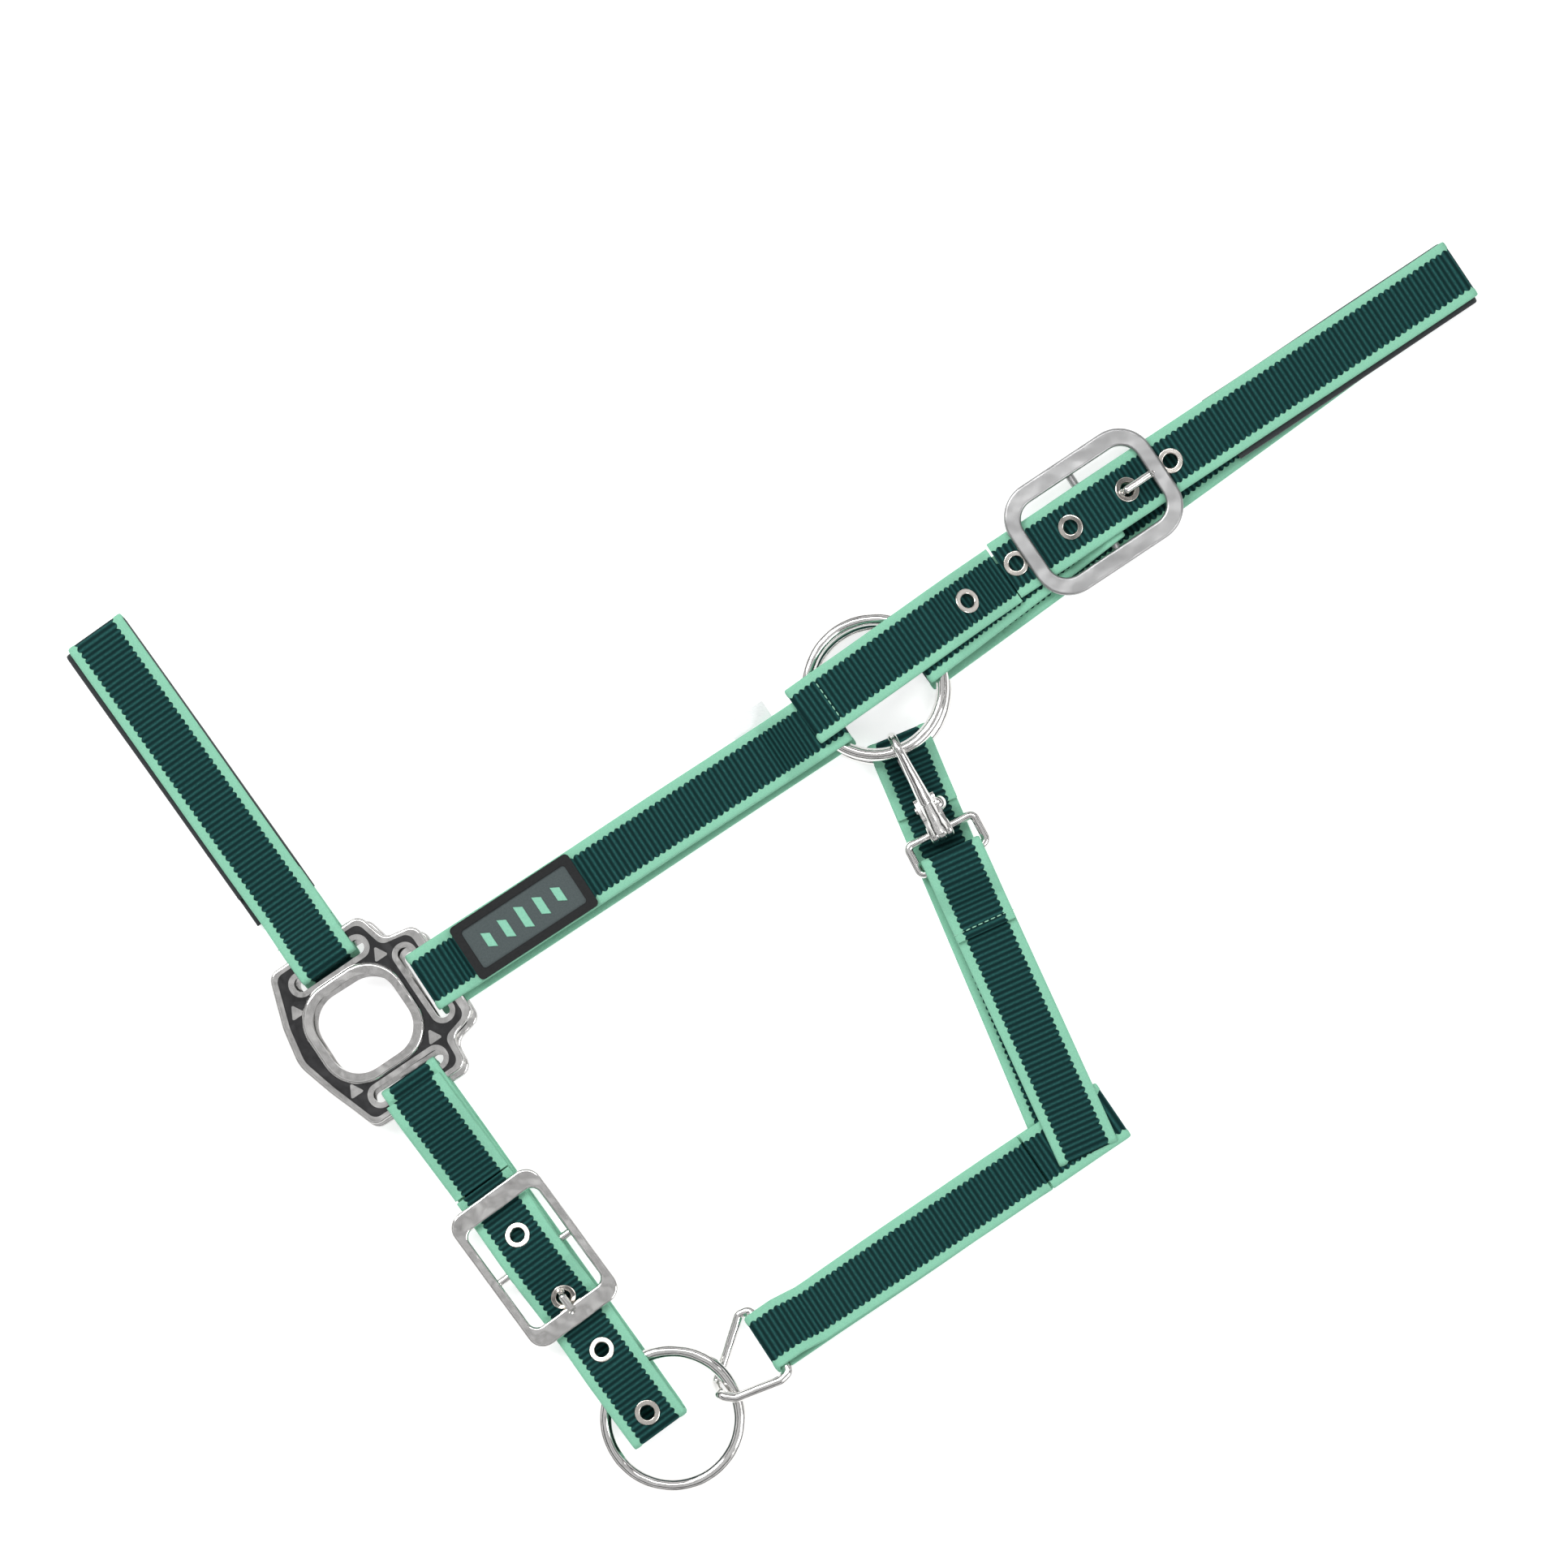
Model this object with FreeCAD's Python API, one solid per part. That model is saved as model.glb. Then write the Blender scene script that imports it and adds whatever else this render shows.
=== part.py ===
import FreeCAD, Part
import math
import os

# Cob headcollar (halter) for a horse, laid flat on its far side, in millimetres.
# X runs to the crown end, Y across the lay, Z up from the surface that it lies on.

# Webbing and lining
WEB = 26.0
WEB_T = 1.8
SEAM = 0.05
LINING = 28.5
LINING_T = 2.0
MOVE = 0.3

# Rings, link, loop and snap hook wires
RING_R = 27.4
RING_WIRE = 2.6
RING_FOLD = 19.8
SLOT_BACK = 12.5
LINK_WIRE = 2.1
LOOP_WIRE = 1.8
SNAP_WIRE = 1.8
NECK_WIRE = 3.0

# Heights of the webbing's middle line, far side below and near side above
FAR_LOW = WEB_T / 2
FAR_HIGH = FAR_LOW + WEB_T + SEAM
NEAR_LOW = 8.3
NEAR_HIGH = NEAR_LOW + WEB_T + SEAM
TUNNEL = 2 * RING_WIRE + WEB_T + 2 * MOVE
FAR_RING_LOW = FAR_LOW
FAR_RING_HIGH = FAR_RING_LOW + TUNNEL
FAR_RING_Z = (FAR_RING_LOW + FAR_RING_HIGH) / 2
SNAP_ROOM = 4.0
NEAR_RING_LOW = FAR_RING_HIGH + WEB_T + MOVE + SNAP_ROOM
NEAR_RING_HIGH = NEAR_RING_LOW + TUNNEL
NEAR_RING_Z = (NEAR_RING_LOW + NEAR_RING_HIGH) / 2

# Halter squares
BAR_T = 3.4
BAR_STEP = BAR_T / 2 + SEAM + WEB_T / 2
FAR_SQUARE_Z = FAR_LOW + BAR_STEP
NEAR_SQUARE_Z = FAR_SQUARE_Z + 2 * BAR_STEP + WEB_T + MOVE
SQUARE_TURN = 34.0
SLOT_LONG = 33.0
RIM_T = 1.3
POCKET = 1.3

# Plan places of the hardware
NEAR_SQUARE = (-165.0, -64.4)
FAR_SQUARE = (-163.2, -65.8)
FAR_SQUARE_TURN = 32.5
NEAR_RING = (42.3, 71.9)
FAR_RING = (43.8, 70.2)
LEAD_RING = (-39.6, -224.4)
LEAD_RING_Z = 6.9
LEAD_RING_TILT = 2.5
NOSE_FOLD = (-274.6, 94.6)
CROWN_FOLD = (280.3, 242.2)
CROWN_BUCKLE = (131.0, 142.9)
CROWN_TAIL_END = (13.0, 59.4)
CHIN_BUCKLE = (-95.4, -159.1)
CHIN_TAIL_END = (-144.2, -90.8)
CHIN_FOLD = (-43.9, -229.4)
LOOP_LOW_BAR = (74.75, 2.45)
LOOP_TURN = 117.5
LOOP_REACH = 12.9
LOOP_HALF = 15.2
LOOP_Z = 7.9
THROAT_FOLD = (129.4, -117.6)
FAR_THROAT_FOOT = (121.5, -114.0)
LINK_BASE = (0.6, -193.7)
LINK_ROLL = -22.0
SNAP_PITCH = 17.7

# Buckles, measured from the centre bar; the tongue points along +s
FRAME_T = 3.2
FRAME_Z = 10.2
CENTRE_BAR_R = 1.7
CENTRE_BAR_Z = 8.0
PRONG_R = 1.6
PRONG_LOW_Z = 3.8
CROWN_RISE = 16.0
CHIN_RISE = 19.5
BUCKLE_WEB_Z = 7.0
BUCKLE_TOP_Z = CENTRE_BAR_Z + CENTRE_BAR_R + WEB_T + 3 * SEAM + WEB_T / 2
BUCKLE_TOP_S = 6.5
BUCKLE_WEB_S = 23.5
CROWN_HINGE = 43.4
CHIN_HINGE = 36.0
EYELET_R = 5.2
EYELET_HOLE = 3.0
EYELET_T = 0.55
CROWN_EYELETS = (37.5, CROWN_RISE, -11.0, -37.5)
TAIL_EYELET = 63.4
CHIN_EYELETS = (-11.2, CHIN_RISE, 46.4, 77.4)


def ground(point, height=0.0):
    """A plan point lifted to a height."""
    return FreeCAD.Vector(point[0], point[1], height)


def heading(degrees):
    angle = math.radians(degrees)
    return FreeCAD.Vector(math.cos(angle), math.sin(angle), 0)


def bearing(start, end):
    return math.degrees(math.atan2(end[1] - start[1], end[0] - start[0]))


def distance(start, end):
    return math.hypot(end[0] - start[0], end[1] - start[1])


def along(start, degrees, reach, side=0.0):
    """The plan point at a reach along a direction and a step to its left."""
    run = heading(degrees)
    return (start[0] + run.x * reach - run.y * side, start[1] + run.y * reach + run.x * side)


def corner(before, point, after, radius):
    """Tangent points, centre and turn of a rounded corner in the (s, z) plane."""
    run_in = (point[0] - before[0], point[1] - before[1])
    run_out = (after[0] - point[0], after[1] - point[1])
    size_in = math.hypot(*run_in)
    size_out = math.hypot(*run_out)
    unit_in = (run_in[0] / size_in, run_in[1] / size_in)
    unit_out = (run_out[0] / size_out, run_out[1] / size_out)
    cross = unit_in[0] * unit_out[1] - unit_in[1] * unit_out[0]
    dot = unit_in[0] * unit_out[0] + unit_in[1] * unit_out[1]
    turn = math.atan2(cross, dot)
    cut = radius * math.tan(abs(turn) / 2)
    side = 1 if turn > 0 else -1
    first = (point[0] - unit_in[0] * cut, point[1] - unit_in[1] * cut)
    centre = (first[0] - unit_in[1] * radius * side, first[1] + unit_in[0] * radius * side)
    return first, centre, turn, unit_in


def strip_side(path, offset):
    """One side of a strip: lines and arcs beside the path, as a list of curve points."""
    pieces = []
    count = len(path)
    for index in range(count):
        point = path[index]
        if index == 0 or index == count - 1:
            other = path[1] if index == 0 else path[-2]
            sign = 1 if index == 0 else -1
            run = ((other[0] - point[0]) * sign, (other[1] - point[1]) * sign)
            size = math.hypot(*run)
            pieces.append([(point[0] - run[1] / size * offset, point[1] + run[0] / size * offset)])
            continue
        first, centre, turn, unit = corner(path[index - 1], point, path[index + 1], point[2])
        start = (first[0] - unit[1] * offset, first[1] + unit[0] * offset)
        if abs(turn) < 1e-6:
            pieces.append([start])
            continue
        arc = []
        for part in (0.0, 0.5, 1.0):
            angle = turn * part
            dx = start[0] - centre[0]
            dz = start[1] - centre[1]
            arc.append((centre[0] + dx * math.cos(angle) - dz * math.sin(angle),
                        centre[1] + dx * math.sin(angle) + dz * math.cos(angle)))
        pieces.append(arc)
    return pieces


def strap(path, start, turn, width=WEB, thick=WEB_T, side=0.0, bend=5.0):
    """Webbing of one width along a path of (reach, height, bend radius) points."""
    path = [point if len(point) == 3 else (point[0], point[1], bend) for point in path]
    run = heading(turn)
    left = heading(turn + 90)

    def place(flat):
        base = ground(start, flat[1]) + run * flat[0]
        return base + left * (side - width / 2)

    upper = strip_side(path, thick / 2)
    lower = strip_side(path, -thick / 2)
    lower = [list(reversed(piece)) for piece in reversed(lower)]
    edges = []
    last = None
    for piece in upper + lower:
        if last is not None and distance(last, piece[0]) > 1e-6:
            edges.append(Part.makeLine(place(last), place(piece[0])))
        if len(piece) == 3:
            edges.append(Part.Arc(*[place(flat) for flat in piece]).toShape())
        last = piece[-1]
    edges.append(Part.makeLine(place(last), place(upper[0][0])))
    face = Part.Face(Part.Wire(edges))
    return face.extrude(left * width)


def outline(points):
    """A closed wire through (x, y, corner radius) points."""
    edges = []
    count = len(points)
    ends = []
    for index in range(count):
        before = points[index - 1]
        point = points[index]
        after = points[(index + 1) % count]
        first, centre, turn, unit = corner(before, point, after, point[2])
        arc = []
        for part in (0.0, 0.5, 1.0):
            angle = turn * part
            dx = first[0] - centre[0]
            dy = first[1] - centre[1]
            arc.append(FreeCAD.Vector(centre[0] + dx * math.cos(angle) - dy * math.sin(angle),
                                      centre[1] + dx * math.sin(angle) + dy * math.cos(angle), 0))
        ends.append(arc)
    for index in range(count):
        arc = ends[index]
        edges.append(Part.Arc(*arc).toShape())
        following = ends[(index + 1) % count]
        if arc[2].distanceToPoint(following[0]) > 1e-6:
            edges.append(Part.makeLine(arc[2], following[0]))
    return Part.Wire(edges)


def rounded_box(long, wide, radius, centre=(0.0, 0.0)):
    x = long / 2
    y = wide / 2
    corners = [(x, y), (-x, y), (-x, -y), (x, -y)]
    return outline([(centre[0] + a, centre[1] + b, radius) for a, b in corners])


def plate(wire, bottom, height):
    shape = Part.Face(wire).extrude(FreeCAD.Vector(0, 0, height))
    shape.translate(FreeCAD.Vector(0, 0, bottom))
    return shape


def soften(shape, radius, low=None, high=None):
    """Round the level edges of a flat casting that lie at one of two heights."""
    levels = [level for level in (low, high) if level is not None]
    edges = []
    for edge in shape.Edges:
        box = edge.BoundBox
        if any(abs(box.ZMin - level) < 1e-4 and abs(box.ZMax - level) < 1e-4 for level in levels):
            edges.append(edge)
    return shape.makeFillet(radius, edges)


def lay(shape, place, turn):
    """Turn a shape made at the origin and lay it at a plan place."""
    shape.rotate(FreeCAD.Vector(0, 0, 0), FreeCAD.Vector(0, 0, 1), turn)
    shape.translate(ground(place))
    return shape


def ring(place, height, tilt=0.0, tilt_turn=0.0):
    axis = FreeCAD.Vector(0, 0, 1)
    if tilt:
        axis = FreeCAD.Rotation(heading(tilt_turn), tilt).multVec(axis)
    return Part.makeTorus(RING_R, RING_WIRE, ground(place, height), axis)


def rod(start, end, radius):
    run = end - start
    return Part.makeCylinder(radius, run.Length, start, run)


def join(shapes):
    whole = shapes[0]
    for shape in shapes[1:]:
        whole = whole.fuse(shape)
    return whole.removeSplitter()


def bent_wire(points, radius):
    """Closed run of round wire through (point, bend radius) pairs."""
    solids = []
    ends = []
    count = len(points)
    for index in range(count):
        point, bend = points[index]
        before = (point - points[index - 1][0]).normalize()
        after = (points[(index + 1) % count][0] - point).normalize()
        turn = before.getAngle(after)
        cut = bend * math.tan(turn / 2)
        first = point - before * cut
        axis = before.cross(after).normalize()
        centre = first + axis.cross(before) * bend
        section = Part.Face(Part.Wire(Part.makeCircle(radius, first, before)))
        solids.append(section.revolve(centre, axis, math.degrees(turn)))
        ends.append((first, point + after * cut))
    for index in range(count):
        solids.append(rod(ends[index - 1][1], ends[index][0], radius))
    return join(solids)


def halter_square(place, turn, height):
    """Casting with a round-cornered eye and three slots, each in a raised rim."""
    low = height - BAR_T / 2
    top = height + BAR_T / 2
    floor = top - POCKET
    rim_top = top + RIM_T
    corners = [
        (-20.5, 37.5, 5.0), (-28.0, 16.0, 20.0), (-31.0, 0.0, 14.0), (-26.5, -16.0, 20.0),
        (-19.0, -37.5, 5.0), (26.5, -37.5, 5.0), (27.5, -25.0, 5.0), (40.5, -21.5, 5.0),
        (40.5, 21.5, 5.0), (27.0, 24.0, 5.0), (23.5, 37.5, 5.0)]
    inner = [(x * 0.9, y * 0.93, bend * 0.8) for x, y, bend in corners]
    slots = (((2.0, 27.0), SLOT_LONG, 6.0), ((3.6, -28.0), SLOT_LONG, 6.0),
             ((30.0, 0.0), 6.0, SLOT_LONG))
    body = soften(plate(outline(corners), low, BAR_T), 1.1, low, top)
    pocket = plate(outline(inner), floor, 4.0)
    for centre, long, wide in slots:
        rim = rounded_box(long + 4.4, wide + 4.4, 5.0, centre)
        pocket = pocket.cut(plate(rim, low, 9.0))
    for x, y in ((-19.5, 19.0), (21.5, 20.0), (21.0, -20.0), (-17.5, -20.5)):
        boss = outline([(x - 3.2, y - 2.4, 0.6), (x + 3.2, y - 2.4, 0.6), (x, y + 3.4, 0.6)])
        pocket = pocket.cut(plate(boss, low, 9.0))
    rim = plate(rounded_box(45.5, 44.5, 16.5, (0.5, 0)), floor - 0.2, rim_top - floor + 0.2)
    rim = soften(rim, 1.5, high=rim_top)
    body = join([body.cut(pocket), rim])
    eye = plate(rounded_box(37.0, 36.0, 13.0, (0.5, 0)), low - 1, BAR_T + 4)
    body = body.cut(eye)
    for centre, long, wide in slots:
        body = body.cut(plate(rounded_box(long, wide, 2.9, centre), low - 1, BAR_T + 4))
    return lay(body, place, turn)


def set_in(shape, start, turn, reach, level):
    """Lay a shape made at the origin on sloping webbing, at a reach along the strap."""
    height, lean = level
    shape.rotate(FreeCAD.Vector(0, 0, 0), FreeCAD.Vector(0, 1, 0), -lean)
    shape.rotate(FreeCAD.Vector(0, 0, 0), FreeCAD.Vector(0, 0, 1), turn)
    shape.translate(ground(along(start, turn, reach), height))
    return shape


def eyelet(start, turn, reach, level):
    """Two-part metal eyelet closed on the webbing, its hole left open."""
    shape = Part.makeCylinder(EYELET_HOLE + 0.5, WEB_T, ground((0, 0), -WEB_T / 2))
    for bottom in (WEB_T / 2, -WEB_T / 2 - EYELET_T):
        shape = shape.fuse(Part.makeCylinder(EYELET_R, EYELET_T, ground((0, 0), bottom)))
    hole = Part.makeCylinder(EYELET_HOLE, 3 * WEB_T, ground((0, 0), -1.5 * WEB_T))
    shape = shape.removeSplitter().cut(hole)
    shape = soften(shape, 0.45, high=WEB_T / 2 + EYELET_T)
    return set_in(shape, start, turn, reach, level)


def eyelet_hole(start, turn, reach, level):
    hole = Part.makeCylinder(EYELET_HOLE + 0.55, 3 * WEB_T, ground((0, 0), -1.5 * WEB_T))
    return set_in(hole, start, turn, reach, level)


def buckled_level(reach):
    """Height and slope of the webbing that climbs over a buckle's centre bar."""
    span = BUCKLE_WEB_S - BUCKLE_TOP_S
    lean = math.degrees(math.atan2(BUCKLE_TOP_Z - BUCKLE_WEB_Z, span))
    if abs(reach) >= BUCKLE_WEB_S:
        return BUCKLE_WEB_Z, 0.0
    drop = (abs(reach) - BUCKLE_TOP_S) / span * (BUCKLE_TOP_Z - BUCKLE_WEB_Z)
    return BUCKLE_TOP_Z - drop, lean if reach < 0 else -lean


def buckle_frame(place, turn, long, wide, end_bar, side_bar, radius):
    """Frame with a centre bar set low, which the short strap's fold goes round."""
    low = FRAME_Z - FRAME_T / 2
    inside_long = long - 2 * end_bar
    inside_wide = wide - 2 * side_bar
    outer = plate(rounded_box(long, wide, radius), low, FRAME_T)
    inner = plate(rounded_box(inside_long, inside_wide, radius * 0.55), low - 1, FRAME_T + 2)
    frame = soften(outer.cut(inner), 1.1, low, low + FRAME_T)
    reach = wide / 2 - side_bar / 2
    bar = rod(FreeCAD.Vector(0, -reach, CENTRE_BAR_Z), FreeCAD.Vector(0, reach, CENTRE_BAR_Z),
              CENTRE_BAR_R)
    for side in (-reach, reach):
        foot = Part.makeCylinder(CENTRE_BAR_R, FRAME_Z - CENTRE_BAR_Z,
                                 FreeCAD.Vector(0, side, CENTRE_BAR_Z))
        bar = bar.fuse(foot)
    return lay(join([frame, bar]), place, turn)


def buckle_prong(place, turn, rise, long):
    """Prong: a sleeve on the centre bar, a low run, a rise through the eyelet and a ball tip."""
    tip_z = FRAME_Z + FRAME_T / 2 + MOVE + PRONG_R
    hub = Part.makeCylinder(CENTRE_BAR_R + 1.6, 4.6, FreeCAD.Vector(0, -2.3, CENTRE_BAR_Z),
                            FreeCAD.Vector(0, 1, 0))
    bore = Part.makeCylinder(CENTRE_BAR_R + 0.06, 6.0, FreeCAD.Vector(0, -3, CENTRE_BAR_Z),
                             FreeCAD.Vector(0, 1, 0))
    points = [FreeCAD.Vector(1.8, 0, PRONG_LOW_Z + 0.6), FreeCAD.Vector(rise, 0, PRONG_LOW_Z),
              FreeCAD.Vector(rise, 0, tip_z), FreeCAD.Vector(long, 0, tip_z)]
    runs = [rod(points[i], points[i + 1], PRONG_R) for i in range(3)]
    knees = [Part.makeSphere(PRONG_R, point) for point in points[1:3]]
    tip = Part.makeSphere(PRONG_R + 1.0, points[3] + FreeCAD.Vector(0, 0, 1.0))
    shape = join([hub] + runs + knees + [tip]).cut(bore)
    return lay(shape, place, turn)


def prong_gap(place, turn):
    """The slot in the short strap's fold that the prong's sleeve stands in."""
    gap = Part.makeBox(16.0, 5.6, 14.0, FreeCAD.Vector(-6.0, -2.8, CENTRE_BAR_Z - 7.0))
    return lay(gap, place, turn)


def near_loop_path(fold, low, high, back, rest_low, rest_high, ease):
    """Points of a doubled end: in along the low layer, round the fold, back along the high one."""
    return [(fold - back - ease, rest_low), (fold - back, low), (fold, low, 1.7), (fold, high, 1.7),
            (fold - back, high), (fold - back - ease, rest_high)]


def doubled_strap(start, turn, length, first, last, rest_low, rest_high, lap, side=0.0):
    """One strap whose two ends fold round hardware and meet under its lap."""
    low_0, high_0, back_0 = first
    low_1, high_1, back_1 = last
    far_end = near_loop_path(length, low_1, high_1, back_1, rest_low, rest_high, 16.0)
    near_end = near_loop_path(length, low_0, high_0, back_0, rest_low, rest_high, 6.0)
    near_end = [(length - point[0],) + tuple(point[1:]) for point in near_end]
    path = [(lap, rest_low)] + far_end + list(reversed(near_end)) + [(lap - 1.0, rest_low)]
    return strap(path, start, turn, side=side)


def cheek(square, turn, ring_place, square_z, ring_low, ring_high, rest_low, rest_high):
    """Cheek strap from a square's slot to a throat ring."""
    start = along(square, turn, 30.0)
    angle = bearing(start, ring_place)
    length = distance(start, ring_place) - RING_FOLD
    ends = ((square_z - BAR_STEP, square_z + BAR_STEP, SLOT_BACK), (ring_low, ring_high, 13.6))
    shape = doubled_strap(start, angle, length, ends[0], ends[1], rest_low, rest_high, 70.0)
    return shape, start, angle


os.makedirs("parts", exist_ok=True)
nodes = {}

# Squares
nodes["near_square"] = halter_square(NEAR_SQUARE, SQUARE_TURN, NEAR_SQUARE_Z)
nodes["far_square"] = halter_square(FAR_SQUARE, FAR_SQUARE_TURN, FAR_SQUARE_Z)

# Rings
nodes["near_throat_ring"] = ring(NEAR_RING, NEAR_RING_Z)
nodes["far_throat_ring"] = ring(FAR_RING, FAR_RING_Z)
nodes["lead_ring"] = ring(LEAD_RING, LEAD_RING_Z, LEAD_RING_TILT, 122.0 + 180.0)

# Cheek straps
near_cheek, cheek_start, cheek_turn = cheek(
    NEAR_SQUARE, SQUARE_TURN, NEAR_RING, NEAR_SQUARE_Z, NEAR_RING_LOW, NEAR_RING_HIGH,
    NEAR_LOW, NEAR_HIGH)
nodes["near_cheek_strap"] = near_cheek
nodes["far_cheek_strap"] = cheek(
    FAR_SQUARE, FAR_SQUARE_TURN, FAR_RING, FAR_SQUARE_Z, FAR_RING_LOW, FAR_RING_HIGH,
    FAR_LOW, FAR_HIGH)[0]

# Badge and size label on the near cheek strap
BADGE = (57.0, 25.0, 2.4)
badge_place = along(cheek_start, cheek_turn, 20.0 + BADGE[0] / 2)
badge_z = NEAR_HIGH + WEB_T / 2 + SEAM
badge = plate(rounded_box(BADGE[0], BADGE[1], 2.0), badge_z, BADGE[2])
recess = plate(rounded_box(BADGE[0] - 7.0, BADGE[1] - 7.0, 1.5), badge_z + 1.2, BADGE[2])
nodes["badge_frame"] = lay(badge.cut(recess), badge_place, cheek_turn)
panel = plate(rounded_box(BADGE[0] - 7.2, BADGE[1] - 7.2, 1.4), badge_z + 1.2, 0.5)
nodes["badge_panel"] = lay(panel, badge_place, cheek_turn)
label_place = along(cheek_start, cheek_turn, 168.0, WEB / 2 + 3.8)
label = plate(rounded_box(18.0, 7.4, 0.5), NEAR_LOW + WEB_T / 2 - 0.35, 0.7)
nodes["size_label"] = lay(label, label_place, cheek_turn)

# Noseband and its lining
nose_start = along(NEAR_SQUARE, SQUARE_TURN, 2.0, 27.0)
nose_turn = bearing(nose_start, NOSE_FOLD)
nose_long = distance(nose_start, NOSE_FOLD) - WEB_T / 2
NOSE_HIGH = FAR_LOW + 2 * LINING_T + WEB_T + MOVE + 2 * SEAM
near_nose = [(0.0, NEAR_SQUARE_Z - BAR_STEP, 1.7), (SLOT_BACK, NEAR_SQUARE_Z - BAR_STEP, 4.0),
             (26.0, NOSE_HIGH - WEB_T - SEAM), (40.0, NOSE_HIGH - WEB_T - SEAM)]
FOLD_R = (NOSE_HIGH - FAR_LOW) / 2
FAR_NOSE = -2.2
nose_path = list(reversed(near_nose)) + [
    (0.0, NEAR_SQUARE_Z + BAR_STEP, 1.7), (SLOT_BACK, NEAR_SQUARE_Z + BAR_STEP, 4.0),
    (28.0, NOSE_HIGH), (nose_long, NOSE_HIGH, FOLD_R), (nose_long, FAR_LOW, FOLD_R),
    (FAR_NOSE, FAR_LOW, 1.7), (FAR_NOSE, FAR_SQUARE_Z + BAR_STEP, 1.7),
    (SLOT_BACK + FAR_NOSE, FAR_SQUARE_Z + BAR_STEP, 4.0), (22.0, FAR_HIGH), (27.0, FAR_HIGH)]
nodes["noseband_strap"] = strap(nose_path, nose_start, nose_turn)
lining_low = FAR_LOW + WEB_T / 2 + SEAM + LINING_T / 2
lining_high = NOSE_HIGH - WEB_T / 2 - SEAM - LINING_T / 2
lining_inset = WEB_T / 2 + SEAM + LINING_T / 2
lining_end = nose_long - lining_inset
lining_bend = (lining_high - lining_low) / 2
lining_path = [(43.0, lining_high), (lining_end, lining_high, lining_bend),
               (lining_end, lining_low, lining_bend), (30.0, lining_low)]
nodes["noseband_lining"] = strap(lining_path, nose_start, nose_turn, LINING, LINING_T, 0.8)

# Crown strap: up from the far ring, over the poll fold and down through the buckle
crown_turn = bearing(CROWN_BUCKLE, CROWN_FOLD)
crown_long = distance(CROWN_BUCKLE, CROWN_FOLD) - WEB_T / 2
far_crown_turn = bearing(FAR_RING, CROWN_FOLD)
far_crown_long = distance(FAR_RING, CROWN_FOLD)
crown_path = [(-CROWN_HINGE, BUCKLE_WEB_Z), (-BUCKLE_WEB_S, BUCKLE_WEB_Z),
              (-BUCKLE_TOP_S, BUCKLE_TOP_Z), (BUCKLE_TOP_S, BUCKLE_TOP_Z),
              (BUCKLE_WEB_S, BUCKLE_WEB_Z), (44.0, BUCKLE_WEB_Z), (58.0, NOSE_HIGH),
              (crown_long, NOSE_HIGH, FOLD_R), (crown_long, FAR_LOW, FOLD_R),
              (crown_long - 30.0, FAR_LOW)]
near_crown = strap(crown_path, CROWN_BUCKLE, crown_turn, bend=8.0)
far_crown_path = [(55.0, FAR_HIGH), (45.0, FAR_HIGH), (34.0, FAR_RING_HIGH),
                  (RING_FOLD, FAR_RING_HIGH, 1.7), (RING_FOLD, FAR_RING_LOW, 1.7),
                  (far_crown_long - 20.0, FAR_LOW)]
crown = join([near_crown, strap(far_crown_path, FAR_RING, far_crown_turn)])
crown_eyelets = []
for reach in CROWN_EYELETS:
    crown = crown.cut(eyelet_hole(CROWN_BUCKLE, crown_turn, reach, buckled_level(reach)))
    crown_eyelets.append(eyelet(CROWN_BUCKLE, crown_turn, reach, buckled_level(reach)))
nodes["crown_strap"] = crown.cut(crown_eyelets)
nodes["crown_strap_eyelets"] = Part.makeCompound(crown_eyelets)
crown_lining_path = [(62.0, lining_high), (crown_long - lining_inset, lining_high, lining_bend),
                     (crown_long - lining_inset, lining_low, lining_bend), (70.0, lining_low)]
nodes["crown_lining"] = strap(crown_lining_path, CROWN_BUCKLE, crown_turn, LINING, LINING_T, -1.0)

# Crown tail: the free end with its turned-under tip, lifting at the buckle
tail_turn = bearing(CROWN_BUCKLE, CROWN_TAIL_END)
tail_long = distance(CROWN_BUCKLE, CROWN_TAIL_END)
TAIL_Z = NEAR_RING_HIGH + WEB_T + MOVE + WEB_T + SEAM
TAIL_RAMP = (46.0, 77.7)
TAIL_GAP = 0.8
tip_bend = (WEB_T + SEAM) / 2
tail_path = [(CROWN_HINGE + TAIL_GAP, BUCKLE_WEB_Z), (TAIL_RAMP[0], BUCKLE_WEB_Z),
             (TAIL_RAMP[1], TAIL_Z - WEB_T - SEAM, 5.0), (112.0, TAIL_Z - WEB_T - SEAM),
             (124.0, TAIL_Z), (tail_long - WEB_T / 2, TAIL_Z, tip_bend),
             (tail_long - WEB_T / 2, TAIL_Z - WEB_T - SEAM, tip_bend),
             (tail_long - 16.0, TAIL_Z - WEB_T - SEAM)]
tail_slope = math.atan2(TAIL_Z - WEB_T - SEAM - BUCKLE_WEB_Z, TAIL_RAMP[1] - TAIL_RAMP[0])
tail_eyelet_z = BUCKLE_WEB_Z + (TAIL_EYELET - TAIL_RAMP[0]) * math.tan(tail_slope)
tail_level = (tail_eyelet_z, math.degrees(tail_slope))
nodes["crown_tail"] = strap(tail_path, CROWN_BUCKLE, tail_turn).cut(
    eyelet_hole(CROWN_BUCKLE, tail_turn, TAIL_EYELET, tail_level))
nodes["crown_tail_eyelet"] = eyelet(CROWN_BUCKLE, tail_turn, TAIL_EYELET, tail_level)

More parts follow.
